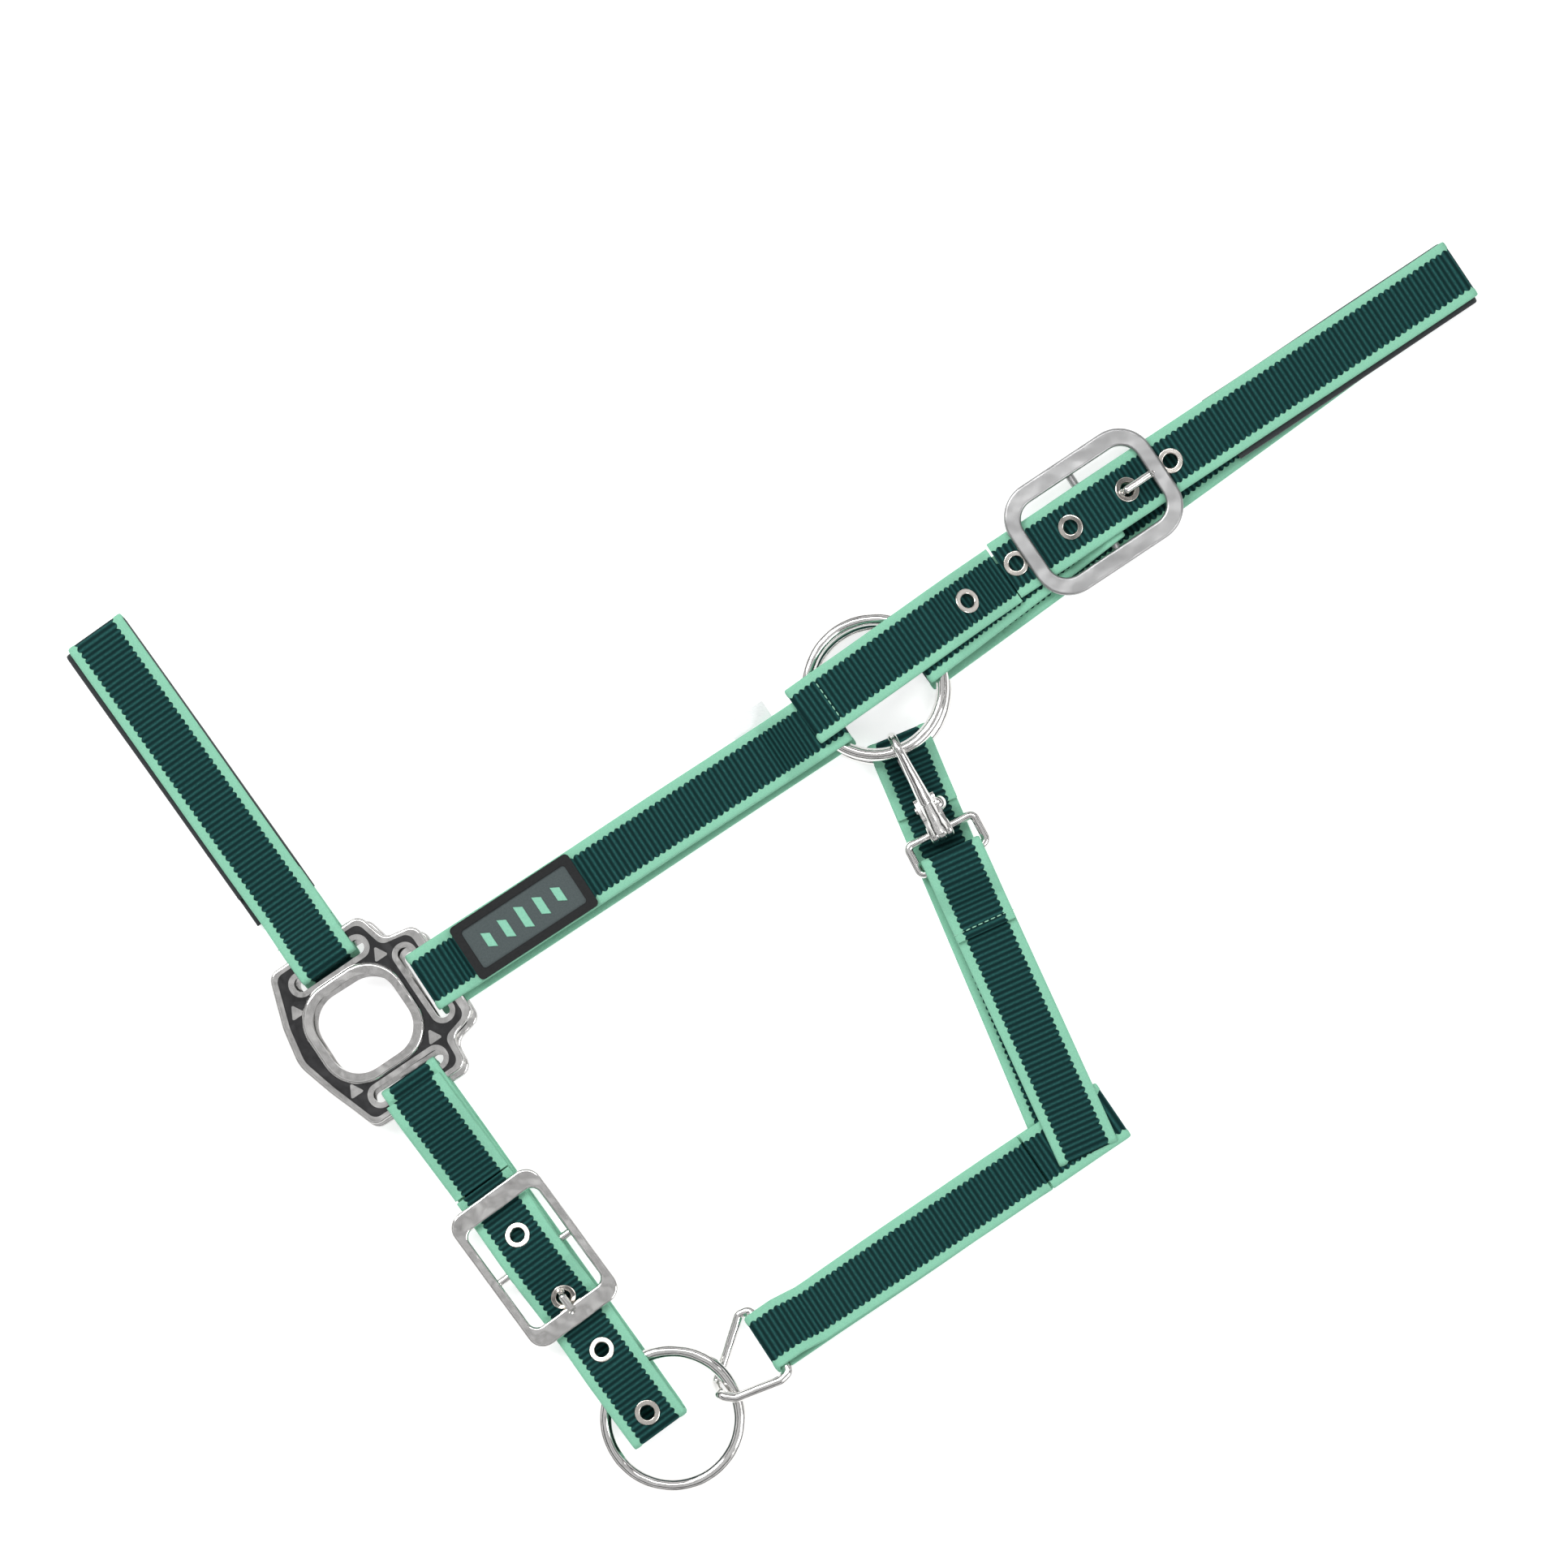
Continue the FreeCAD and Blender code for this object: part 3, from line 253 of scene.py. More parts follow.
def punch(piece, start, turn, reaches):
    """Round holes cut through a strap's upper layer, for its eyelets."""
    for reach in reaches:
        x, y = along(start, turn, reach)
        middle = Vector((x, y, PUNCH_LOW + PUNCH_DEPTH / 2))
        bpy.ops.mesh.primitive_cylinder_add(
            vertices=32, radius=EYELET_HOLE * MM, depth=PUNCH_DEPTH * MM,
            location=(middle + HOME) * MM)
        cutter = bpy.context.object
        cutter.data.uv_layers.active.name = "weave"
        modifier = piece.modifiers.new("hole", "BOOLEAN")
        modifier.solver = "EXACT"
        modifier.object = cutter
        graph = bpy.context.evaluated_depsgraph_get()
        made = bpy.data.meshes.new_from_object(piece.evaluated_get(graph))
        piece.modifiers.clear()
        piece.data = made
        bpy.data.objects.remove(cutter)


def merge(name, pieces):
    """Pieces with one material joined as one object."""
    bpy.ops.object.select_all(action="DESELECT")
    for piece in pieces:
        piece.select_set(True)
    bpy.context.view_layer.objects.active = pieces[0]
    bpy.ops.object.join()
    pieces[0].name = name


# ---- straps --------------------------------------------------------------------------

def loop_end(fold, low, high, back, rest_low, rest_high, ease):
    return [(fold - back - ease, rest_low), (fold - back, low), (fold, low, TIGHT),
            (fold, high, TIGHT), (fold - back, high), (fold - back - ease, rest_high)]


def doubled(name, start, turn, length, first, last, rest_low, rest_high, lap, phase):
    far_end = loop_end(length, last[0], last[1], last[2], rest_low, rest_high, 16.0)
    near_end = loop_end(length, first[0], first[1], first[2], rest_low, rest_high, 6.0)
    near_end = [(length - point[0],) + tuple(point[1:]) for point in near_end]
    path = [(lap, rest_low)] + far_end + near_end[::-1] + [(lap - 1.0, rest_low)]
    return ribbon(name, path, start, turn, phase=phase)


def cheek(name, square, turn, ring_place, square_z, ring_low, ring_high, low, high, phase):
    start = along(square, turn, 30.0)
    angle = bearing(start, ring_place)
    length = distance(start, ring_place) - RING_FOLD
    doubled(name, start, angle, length, (square_z - BAR_STEP, square_z + BAR_STEP, SLOT_BACK),
            (ring_low, ring_high, 13.6), low, high, 70.0, phase)
    return start, angle


webs = {}
cheek_start, cheek_turn = cheek("near_cheek_webbing", NEAR_SQUARE, NEAR_TURN, NEAR_RING,
                                NEAR_SQUARE_Z, NEAR_RING_LOW, NEAR_RING_HIGH, NEAR_LOW,
                                NEAR_HIGH, 0.7)
cheek("far_cheek_webbing", FAR_SQUARE, FAR_TURN, FAR_RING, FAR_SQUARE_Z, FAR_RING_LOW,
      FAR_RING_HIGH, FAR_LOW, FAR_HIGH, 1.9)
webs["near_cheek_webbing"] = ("halter", "near_cheek_strap")
webs["far_cheek_webbing"] = ("halter", "far_cheek_strap")

nose_start = along(NEAR_SQUARE, NEAR_TURN, 2.0, 27.0)
nose_turn = bearing(nose_start, NOSE_FOLD)
nose_long = distance(nose_start, NOSE_FOLD) - WEB_T / 2
NOSE_HIGH = FAR_LOW + 2 * LINING_T + WEB_T + MOVE + 2 * SEAM
FOLD_R = (NOSE_HIGH - FAR_LOW) / 2
FAR_NOSE = -2.2
ribbon("noseband_webbing", [
    (40.0, NOSE_HIGH - WEB_T - SEAM), (26.0, NOSE_HIGH - WEB_T - SEAM),
    (SLOT_BACK, NEAR_SQUARE_Z - BAR_STEP, 4.0), (0.0, NEAR_SQUARE_Z - BAR_STEP, TIGHT),
    (0.0, NEAR_SQUARE_Z + BAR_STEP, TIGHT), (SLOT_BACK, NEAR_SQUARE_Z + BAR_STEP, 4.0),
    (28.0, NOSE_HIGH), (nose_long, NOSE_HIGH, FOLD_R), (nose_long, FAR_LOW, FOLD_R),
    (FAR_NOSE, FAR_LOW, TIGHT), (FAR_NOSE, FAR_SQUARE_Z + BAR_STEP, TIGHT),
    (SLOT_BACK + FAR_NOSE, FAR_SQUARE_Z + BAR_STEP, 4.0), (22.0, FAR_HIGH), (27.0, FAR_HIGH)],
    nose_start, nose_turn, phase=0.4)
webs["noseband_webbing"] = ("halter", "noseband_strap")

crown_turn = bearing(CROWN_BUCKLE, CROWN_FOLD)
crown_long = distance(CROWN_BUCKLE, CROWN_FOLD) - WEB_T / 2
far_crown_turn = bearing(FAR_RING, CROWN_FOLD)
far_crown_long = distance(FAR_RING, CROWN_FOLD)
crown_near = ribbon("crown_webbing", [
    (-CROWN_HINGE, BUCKLE_WEB_Z), (-BUCKLE_WEB_S, BUCKLE_WEB_Z), (-BUCKLE_TOP_S, BUCKLE_TOP_Z),
    (BUCKLE_TOP_S, BUCKLE_TOP_Z), (BUCKLE_WEB_S, BUCKLE_WEB_Z), (44.0, BUCKLE_WEB_Z),
    (58.0, NOSE_HIGH), (crown_long, NOSE_HIGH, FOLD_R), (crown_long, FAR_LOW, FOLD_R),
    (crown_long - 30.0, FAR_LOW)], CROWN_BUCKLE, crown_turn, bend=8.0, phase=1.1)
crown_far = ribbon("crown_webbing_far", [
    (55.0, FAR_HIGH), (45.0, FAR_HIGH), (34.0, FAR_RING_HIGH), (RING_FOLD, FAR_RING_HIGH, TIGHT),
    (RING_FOLD, FAR_RING_LOW, TIGHT), (far_crown_long - 20.0, FAR_LOW)], FAR_RING, far_crown_turn)
punch(crown_near, CROWN_BUCKLE, crown_turn, CROWN_EYELETS)
merge("crown_webbing", [crown_near, crown_far])
webs["crown_webbing"] = ("halter", "crown_strap")

tail_turn = bearing(CROWN_BUCKLE, CROWN_TAIL_END)
tail_long = distance(CROWN_BUCKLE, CROWN_TAIL_END)
TAIL_Z = NEAR_RING_HIGH + WEB_T + MOVE + WEB_T + SEAM
TAIL_RAMP = (46.0, 77.7)
tip_bend = (WEB_T + SEAM) / 2
ribbon("crown_tail_webbing", [
    (CROWN_HINGE + TAIL_GAP, BUCKLE_WEB_Z), (TAIL_RAMP[0], BUCKLE_WEB_Z),
    (TAIL_RAMP[1], TAIL_Z - WEB_T - SEAM, 5.0), (112.0, TAIL_Z - WEB_T - SEAM),
    (124.0, TAIL_Z), (tail_long - WEB_T / 2, TAIL_Z, tip_bend),
    (tail_long - WEB_T / 2, TAIL_Z - WEB_T - SEAM, tip_bend),
    (tail_long - 16.0, TAIL_Z - WEB_T - SEAM)], CROWN_BUCKLE, tail_turn, phase=0.2)
punch(bpy.data.objects["crown_tail_webbing"], CROWN_BUCKLE, tail_turn, (TAIL_EYELET,))
webs["crown_tail_webbing"] = ("crown_tail", "crown_tail")

short_start = (CROWN_BUCKLE[0] + 1.5, CROWN_BUCKLE[1] - 2.0)
short_turn = bearing(short_start, NEAR_RING)
short_long = distance(short_start, NEAR_RING) - RING_FOLD
bar_fold = CENTRE_BAR_R + 2 * SEAM + WEB_T / 2
fold_reach = -bar_fold - 1.0
SHORT_LOW = FAR_LOW + WEB_T + SEAM
SHORT_HIGH = SHORT_LOW + WEB_T + SEAM
ramp_end = short_long - 14.0
lap_z = SHORT_LOW + (NEAR_RING_LOW - SHORT_LOW) * 13.0 / (ramp_end - 47.0)
ribbon("crown_buckle_webbing", [
    (60.0, lap_z), (47.0, SHORT_LOW), (14.0, SHORT_LOW), (4.0, CENTRE_BAR_Z - bar_fold, 3.0),
    (fold_reach, CENTRE_BAR_Z - bar_fold, TIGHT), (fold_reach, CENTRE_BAR_Z + bar_fold, TIGHT),
    (4.0, CENTRE_BAR_Z + bar_fold, 3.0), (20.0, SHORT_HIGH), (47.0, SHORT_HIGH),
    (ramp_end, NEAR_RING_HIGH), (short_long, NEAR_RING_HIGH, TIGHT),
    (short_long, NEAR_RING_LOW, TIGHT), (ramp_end, NEAR_RING_LOW), (61.0, lap_z + 0.3)],
    short_start, short_turn, phase=1.5)
webs["crown_buckle_webbing"] = ("halter", "crown_buckle_strap")

chin_start = along(NEAR_SQUARE, NEAR_TURN, 3.6, -28.0)
chin_turn = bearing(CHIN_BUCKLE, CHIN_FOLD)
short_chin_turn = bearing(CHIN_BUCKLE, chin_start)
short_chin_long = distance(CHIN_BUCKLE, chin_start)
ribbon("chin_buckle_webbing", [
    (48.0, SHORT_LOW), (14.0, SHORT_LOW), (4.0, CENTRE_BAR_Z - bar_fold, 3.0),
    (fold_reach, CENTRE_BAR_Z - bar_fold, TIGHT), (fold_reach, CENTRE_BAR_Z + bar_fold, TIGHT),
    (4.0, CENTRE_BAR_Z + bar_fold, 3.0), (20.0, SHORT_HIGH), (40.0, SHORT_HIGH),
    (short_chin_long - SLOT_BACK, NEAR_SQUARE_Z + BAR_STEP),
    (short_chin_long, NEAR_SQUARE_Z + BAR_STEP, TIGHT),
    (short_chin_long, NEAR_SQUARE_Z - BAR_STEP, TIGHT),
    (short_chin_long - 20.0, NEAR_SQUARE_Z - BAR_STEP)], CHIN_BUCKLE, short_chin_turn)
webs["chin_buckle_webbing"] = ("halter", "chin_buckle_strap")

CHIN_RING_HIGH = LEAD_RING_Z + 0.6 + RING_WIRE + 2 * MOVE + WEB_T / 2
chin_long = distance(CHIN_BUCKLE, CHIN_FOLD) - WEB_T / 2
far_chin_start = along(FAR_SQUARE, FAR_TURN, 3.6, -28.0)
far_chin_turn = bearing(CHIN_FOLD, far_chin_start)
far_chin_long = distance(CHIN_FOLD, far_chin_start)
chin_near = ribbon("chin_webbing", [
    (-CHIN_HINGE, BUCKLE_WEB_Z), (-BUCKLE_WEB_S, BUCKLE_WEB_Z), (-BUCKLE_TOP_S, BUCKLE_TOP_Z),
    (BUCKLE_TOP_S, BUCKLE_TOP_Z), (BUCKLE_WEB_S, BUCKLE_WEB_Z), (38.0, BUCKLE_WEB_Z),
    (54.0, CHIN_RING_HIGH), (chin_long, CHIN_RING_HIGH, TIGHT), (chin_long, FAR_LOW, TIGHT),
    (chin_long - 20.0, FAR_LOW)], CHIN_BUCKLE, chin_turn, phase=0.9)
chin_far = ribbon("chin_webbing_far", [
    (4.0, FAR_LOW), (far_chin_long, FAR_LOW, TIGHT),
    (far_chin_long, FAR_SQUARE_Z + BAR_STEP, TIGHT),
    (far_chin_long - SLOT_BACK, FAR_SQUARE_Z + BAR_STEP, 4.0),
    (far_chin_long - 22.0, FAR_HIGH), (far_chin_long - 27.0, FAR_HIGH)], CHIN_FOLD, far_chin_turn)
punch(chin_near, CHIN_BUCKLE, chin_turn, CHIN_EYELETS)
merge("chin_webbing", [chin_near, chin_far])
webs["chin_webbing"] = ("halter", "chin_strap")
chin_tail_turn = bearing(CHIN_BUCKLE, CHIN_TAIL_END)
chin_tail_long = distance(CHIN_BUCKLE, CHIN_TAIL_END)
CHIN_TAIL_Z = NEAR_SQUARE_Z + BAR_STEP + WEB_T + MOVE
ribbon("chin_tail_webbing", [
    (CHIN_HINGE + TAIL_GAP, BUCKLE_WEB_Z), (38.5, BUCKLE_WEB_Z), (73.0, CHIN_TAIL_Z),
    (chin_tail_long, CHIN_TAIL_Z)], CHIN_BUCKLE, chin_tail_turn, phase=0.5)
webs["chin_tail_webbing"] = ("chin_tail", "chin_tail")

throat_turn = bearing(LOOP_LOW_BAR, THROAT_FOLD)
throat_long = distance(LOOP_LOW_BAR, THROAT_FOLD) - WEB_T / 2
THROAT_LOW = LOOP_Z - LOOP_WIRE - MOVE - WEB_T / 2
THROAT_HIGH = LOOP_Z + LOOP_WIRE + MOVE + WEB_T / 2
loop_tip = -(LOOP_WIRE + 1.0 + WEB_T / 2)
FOLD_LOW = FAR_LOW + WEB_T + SEAM
FOLD_HIGH = FOLD_LOW + 2 * WEB_T + 0.2
throat_near = ribbon("throat_webbing", [
    (32.0, THROAT_LOW + WEB_T + SEAM), (20.0, THROAT_LOW + WEB_T + SEAM), (9.0, THROAT_HIGH),
    (loop_tip, THROAT_HIGH, TIGHT), (loop_tip, THROAT_LOW, TIGHT), (40.0, THROAT_LOW),
    (throat_long - 30.0, FOLD_HIGH), (throat_long, FOLD_HIGH, 1.8), (throat_long, FOLD_LOW, 1.8),
    (throat_long - 20.0, FOLD_LOW)], LOOP_LOW_BAR, throat_turn, phase=1.3)
far_throat_turn = bearing(FAR_RING, FAR_THROAT_FOOT)
far_throat_long = distance(FAR_RING, FAR_THROAT_FOOT)
throat_far = ribbon("throat_webbing_far", [
    (52.0, FAR_HIGH), (42.0, FAR_HIGH), (29.0, FAR_RING_HIGH), (RING_FOLD, FAR_RING_HIGH, TIGHT),
    (RING_FOLD, FAR_RING_LOW, TIGHT), (far_throat_long - 45.0, FAR_LOW),
    (far_throat_long - 28.0, FOLD_LOW), (far_throat_long, FOLD_LOW)], FAR_RING, far_throat_turn)
merge("throat_webbing", [throat_near, throat_far])
webs["throat_webbing"] = ("halter", "throat_strap")

# Connecting strap: rolled on its run at the link end, flat at the throat strap
LINK_LONG = 167.0
LIFT = 0.5 * WEB * math.sin(math.radians(abs(LINK_ROLL))) + SEAM
TWIST = (26.0, 110.0)
link_bar_z = WEB_T + MOVE + LINK_WIRE
LINK_HIGH = link_bar_z + LINK_WIRE + MOVE + WEB_T / 2
link_fold = -(LINK_WIRE + MOVE + WEB_T / 2)
inside_fold = FOLD_LOW + WEB_T + 0.1


def roll_link(spot, reach):
    part = min(1.0, max(0.0, (reach - TWIST[0]) / (TWIST[1] - TWIST[0])))
    base = Vector((*along(LINK_BASE, LINK_TURN, reach), FAR_LOW))
    turn = Matrix.Rotation(math.radians(LINK_ROLL * (1 - part)), 3, heading(LINK_TURN))
    return base + turn @ (spot - base) + Vector((0, 0, LIFT * (1 - part)))


ribbon("connecting_webbing", [
    (130.0, inside_fold), (LINK_LONG, inside_fold, TIGHT), (LINK_LONG, FAR_LOW, TIGHT),
    (link_fold, FAR_LOW, TIGHT), (link_fold, LINK_HIGH, TIGHT), (9.0, LINK_HIGH), (20.0, FAR_HIGH),
    (124.0, FAR_HIGH), (129.0, inside_fold)], LINK_BASE, LINK_TURN, bend=3.0, phase=0.6,
    twist=roll_link)
webs["connecting_webbing"] = ("halter", "connecting_strap")

# Padding tape inside the noseband and inside the crown
lining_low = FAR_LOW + WEB_T / 2 + SEAM + LINING_T / 2
lining_high = NOSE_HIGH - WEB_T / 2 - SEAM - LINING_T / 2
inset = WEB_T / 2 + SEAM + LINING_T / 2
lining_bend = (lining_high - lining_low) / 2
ribbon("noseband_padding", [
    (43.0, lining_high), (nose_long - inset, lining_high, lining_bend),
    (nose_long - inset, lining_low, lining_bend), (30.0, lining_low)],
    nose_start, nose_turn, LINING, LINING_T, 0.8, rib=0.0, step=1.0)
ribbon("crown_padding", [
    (62.0, lining_high), (crown_long - inset, lining_high, lining_bend),
    (crown_long - inset, lining_low, lining_bend), (70.0, lining_low)],
    CROWN_BUCKLE, crown_turn, LINING, LINING_T, -1.0, rib=0.0, step=1.0)


# ---- shader groups -------------------------------------------------------------------

def new_group(name, inputs, outputs):
    """A shader node group with named sockets: (name, type, default)."""
    tree = bpy.data.node_groups.new(name, "ShaderNodeTree")
    for label, kind, value in inputs:
        socket = tree.interface.new_socket(label, in_out="INPUT", socket_type=kind)
        if value is not None:
            socket.default_value = value
    for label, kind in outputs:
        tree.interface.new_socket(label, in_out="OUTPUT", socket_type=kind)
    start = tree.nodes.new("NodeGroupInput")
    end = tree.nodes.new("NodeGroupOutput")
    return tree, start, end


def link(tree, source, target):
    tree.links.new(source, target)


def maths(tree, operation, first, second=None, third=None, clamp=False):
    node = tree.nodes.new("ShaderNodeMath")
    node.operation = operation
    node.use_clamp = clamp
    for socket, value in zip(node.inputs, (first, second, third)):
        if value is None:
            continue
        if isinstance(value, (int, float)):
            socket.default_value = value
        else:
            link(tree, value, socket)
    return node.outputs[0]


def blend_colour(tree, factor, first, second):
    node = tree.nodes.new("ShaderNodeMix")
    node.data_type = "RGBA"
    for order, value in ((0, factor), (6, first), (7, second)):
        socket = node.inputs[order]
        if isinstance(value, (int, float)):
            socket.default_value = value
        elif isinstance(value, tuple):
            socket.default_value = (*value, 1.0)
        else:
            link(tree, value, socket)
    return node.outputs[2]


def cloud(tree, vector, scale, detail=2.0, roughness=0.5):
    node = tree.nodes.new("ShaderNodeTexNoise")
    node.inputs["Scale"].default_value = scale
    node.inputs["Detail"].default_value = detail
    node.inputs["Roughness"].default_value = roughness
    if vector is not None:
        link(tree, vector, node.inputs["Vector"])
    return node.outputs["Fac"]


def stretched(tree, vector, scale):
    node = tree.nodes.new("ShaderNodeMapping")
    node.inputs["Scale"].default_value = scale
    link(tree, vector, node.inputs["Vector"])
    return node.outputs[0]


def yarn_group():
    """Yarn: short fibre streaks along and across the weave, as a mask and a height."""
    tree, start, end = new_group("Yarn", [
        ("Place", "NodeSocketVector", None), ("Along", "NodeSocketFloat", 1.0),
        ("Across", "NodeSocketFloat", 1.0)],
        [("Streak", "NodeSocketFloat"), ("Height", "NodeSocketFloat")])
    combine = tree.nodes.new("ShaderNodeSeparateXYZ")
    link(tree, start.outputs["Place"], combine.inputs[0])
    across = maths(tree, "MULTIPLY", combine.outputs[0], start.outputs["Across"])
    run = maths(tree, "MULTIPLY", combine.outputs[1], start.outputs["Along"])
    place = tree.nodes.new("ShaderNodeCombineXYZ")
    link(tree, across, place.inputs[0])
    link(tree, run, place.inputs[1])
    streak = cloud(tree, place.outputs[0], 1.0, 4.0, 0.65)
    fine = cloud(tree, place.outputs[0], 3.2, 2.0)
    link(tree, streak, end.inputs["Streak"])
    link(tree, maths(tree, "MULTIPLY_ADD", fine, 0.5, maths(tree, "MULTIPLY", streak, 0.6)),
         end.inputs["Height"])
    return tree


def wear_group():
    """Handling marks on plated metal: fine hairlines and soft smears."""
    tree, start, end = new_group("Handling marks", [
        ("Hairlines", "NodeSocketFloat", 0.4), ("Smears", "NodeSocketFloat", 0.3)],
        [("Roughness", "NodeSocketFloat"), ("Height", "NodeSocketFloat")])
    texture = tree.nodes.new("ShaderNodeTexCoord")
    drawn = stretched(tree, texture.outputs["Object"], (2600.0, 260.0, 900.0))
    lines = cloud(tree, drawn, 1.0, 3.0)
    smear = cloud(tree, texture.outputs["Object"], 90.0, 3.0, 0.6)
    rough = maths(tree, "MULTIPLY_ADD", smear, start.outputs["Smears"],
                  maths(tree, "MULTIPLY", lines, start.outputs["Hairlines"]))
    link(tree, rough, end.inputs["Roughness"])
    link(tree, lines, end.inputs["Height"])
    return tree


YARN = yarn_group()
WEAR = wear_group()


def new_material(name):
    material = bpy.data.materials.new(name)
    material.use_nodes = True
    tree = material.node_tree
    shader = tree.nodes["Principled BSDF"]
    return material, tree, shader


def place_group(tree, group, **values):
    node = tree.nodes.new("ShaderNodeGroup")
    node.node_tree = group
    for label, value in values.items():
        node.inputs[label].default_value = value
    return node


def bump(tree, shader, height, strength, reach):
    node = tree.nodes.new("ShaderNodeBump")
    node.inputs["Strength"].default_value = strength
    node.inputs["Distance"].default_value = reach
    link(tree, height, node.inputs["Height"])
    link(tree, node.outputs[0], shader.inputs["Normal"])


def webbing_material():
    """Dark teal ribs between mint selvedges with a scalloped inner line, with painted highlights on
    the rib crests, painted shade between the ribs and painted shade in the hollows of the mint
    knit.
    """
    material, tree, shader = new_material("teal_webbing_mint_edge")
    uv = tree.nodes.new("ShaderNodeUVMap")
    uv.uv_map = "weave"
    split = tree.nodes.new("ShaderNodeSeparateXYZ")
    link(tree, uv.outputs[0], split.inputs[0])
    across, run = split.outputs[0], split.outputs[1]
    yarn = place_group(tree, YARN, Along=2.2, Across=0.7)
    link(tree, uv.outputs[0], yarn.inputs["Place"])
    wobble = cloud(tree, stretched(tree, uv.outputs[0], (0.0, 0.35, 0.0)), 1.0, 2.0)
    wave = maths(tree, "SINE", maths(tree, "MULTIPLY", run, 2 * math.pi / SCALLOP))
    wave = maths(tree, "MULTIPLY", maths(tree, "ABSOLUTE", wave), 0.95)
    line = maths(tree, "MULTIPLY_ADD", wobble, 0.5, wave)
    line = maths(tree, "ADD", line, WEB / 2 - SELVEDGE - 0.85)
    edge = maths(tree, "SUBTRACT", maths(tree, "ABSOLUTE", across), line)
    mint = maths(tree, "MULTIPLY_ADD", edge, 5.0, 0.5, clamp=True)
    # Painted highlight on the rib crests and painted shade in the valleys: the teal is made light
    # on each crest and dark between the ribs.
    crest_highlight = maths(tree, "SINE", maths(tree, "MULTIPLY", run, math.pi / RIB))
    crest_highlight = maths(tree, "ABSOLUTE", crest_highlight)
    crest_highlight = maths(tree, "POWER", crest_highlight, 3.4)
    streak = maths(tree, "MULTIPLY_ADD", yarn.outputs["Streak"], 1.5, -0.1)
    lit = maths(tree, "MULTIPLY", crest_highlight, streak)
    # The dark teal is painted shade between the ribs; the light teal is a painted highlight on the
    # crests.
    teal = blend_colour(tree, lit, (0.0022, 0.019, 0.019), (0.022, 0.105, 0.098))
    # One noise is both the knit's bump height and the mint's shading: the mint is painted darker
    # where the knit is low, as painted shade in its hollows.
    knit_relief_and_shade = cloud(tree, stretched(tree, uv.outputs[0], (2.4, 1.3, 1.0)), 1.0, 4.0, 0.7)
    pale = blend_colour(tree, knit_relief_and_shade, (0.14, 0.40, 0.275), (0.32, 0.64, 0.46))
    colour = blend_colour(tree, mint, teal, pale)
    link(tree, colour, shader.inputs["Base Color"])
    shader.inputs["Roughness"].default_value = 0.74
    shader.inputs["Specular IOR Level"].default_value = 0.08
    height = maths(tree, "MULTIPLY_ADD", knit_relief_and_shade, maths(tree, "MULTIPLY", mint, 0.8),
                   maths(tree, "MULTIPLY", yarn.outputs["Height"], 0.6))
    bump(tree, shader, height, 0.55, 0.00035)
    return material


def padding_material():
    """Soft dark padding tape with a fine nap."""
    material, tree, shader = new_material("dark_padding_tape")
    uv = tree.nodes.new("ShaderNodeUVMap")
    uv.uv_map = "weave"
    yarn = place_group(tree, YARN, Along=1.6, Across=1.6)
    link(tree, uv.outputs[0], yarn.inputs["Place"])
    nap = blend_colour(tree, yarn.outputs["Streak"], (0.006, 0.008, 0.009), (0.035, 0.042, 0.045))
    link(tree, nap, shader.inputs["Base Color"])
    shader.inputs["Roughness"].default_value = 0.92
    shader.inputs["Sheen Weight"].default_value = 0.2
    bump(tree, shader, yarn.outputs["Height"], 0.7, 0.0004)
    return material


def plated_material(name, colour, rough, hairlines, smears, relief, shaded_recess=None):
    """Plated metal with handling marks. Between two heights given for a recess, painted shade
    darkens the plate to a dark band.
    """
    material, tree, shader = new_material(name)
    marks = place_group(tree, WEAR, Hairlines=hairlines, Smears=smears)
    texture = tree.nodes.new("ShaderNodeTexCoord")
    tone = cloud(tree, texture.outputs["Object"], 60.0, 3.0)
    deep = tuple(c * 0.82 for c in colour)
    plate = blend_colour(tree, tone, deep, colour)
    # Painted shade: the plate is darkened to near black between the two heights, where the recess
    # lies.
    if shaded_recess:
        split = tree.nodes.new("ShaderNodeSeparateXYZ")
        link(tree, texture.outputs["Object"], split.inputs[0])
        low = maths(tree, "GREATER_THAN", split.outputs[2], shaded_recess[0])
        high = maths(tree, "LESS_THAN", split.outputs[2], shaded_recess[1])
        plate = blend_colour(tree, maths(tree, "MULTIPLY", low, high), plate, (0.09, 0.09, 0.092))
    link(tree, plate, shader.inputs["Base Color"])
    shader.inputs["Metallic"].default_value = 1.0
    link(tree, maths(tree, "ADD", marks.outputs["Roughness"], rough), shader.inputs["Roughness"])
    swell = cloud(tree, texture.outputs["Object"], 105.0, 1.0)
    relief_height = maths(tree, "MULTIPLY_ADD", marks.outputs["Height"], relief * 0.06, swell)
    bump(tree, shader, relief_height, 0.8, 0.0009)
    return material


def moulded_material(name, low, high, rough, scale):
    """Moulded rubber or plastic with a fine grain."""
    material, tree, shader = new_material(name)
    texture = tree.nodes.new("ShaderNodeTexCoord")
    grain = cloud(tree, texture.outputs["Object"], scale, 3.0, 0.6)
    link(tree, blend_colour(tree, grain, low, high), shader.inputs["Base Color"])
    shader.inputs["Roughness"].default_value = rough
    shader.inputs["Specular IOR Level"].default_value = 0.2
    bump(tree, shader, grain, 0.35, 0.0002)
    return material


def satin_material():
    """White satin tape with a fine weft."""
    material, tree, shader = new_material("white_satin_tape")
    texture = tree.nodes.new("ShaderNodeTexCoord")
    weft = cloud(tree, stretched(tree, texture.outputs["Object"], (900.0, 4200.0, 900.0)), 1.0, 2.0)
    white = blend_colour(tree, weft, (0.66, 0.68, 0.68), (0.9, 0.91, 0.91))
    link(tree, white, shader.inputs["Base Color"])
    shader.inputs["Roughness"].default_value = 0.5
    shader.inputs["Sheen Weight"].default_value = 0.2
    bump(tree, shader, weft, 0.4, 0.0001)
    return material


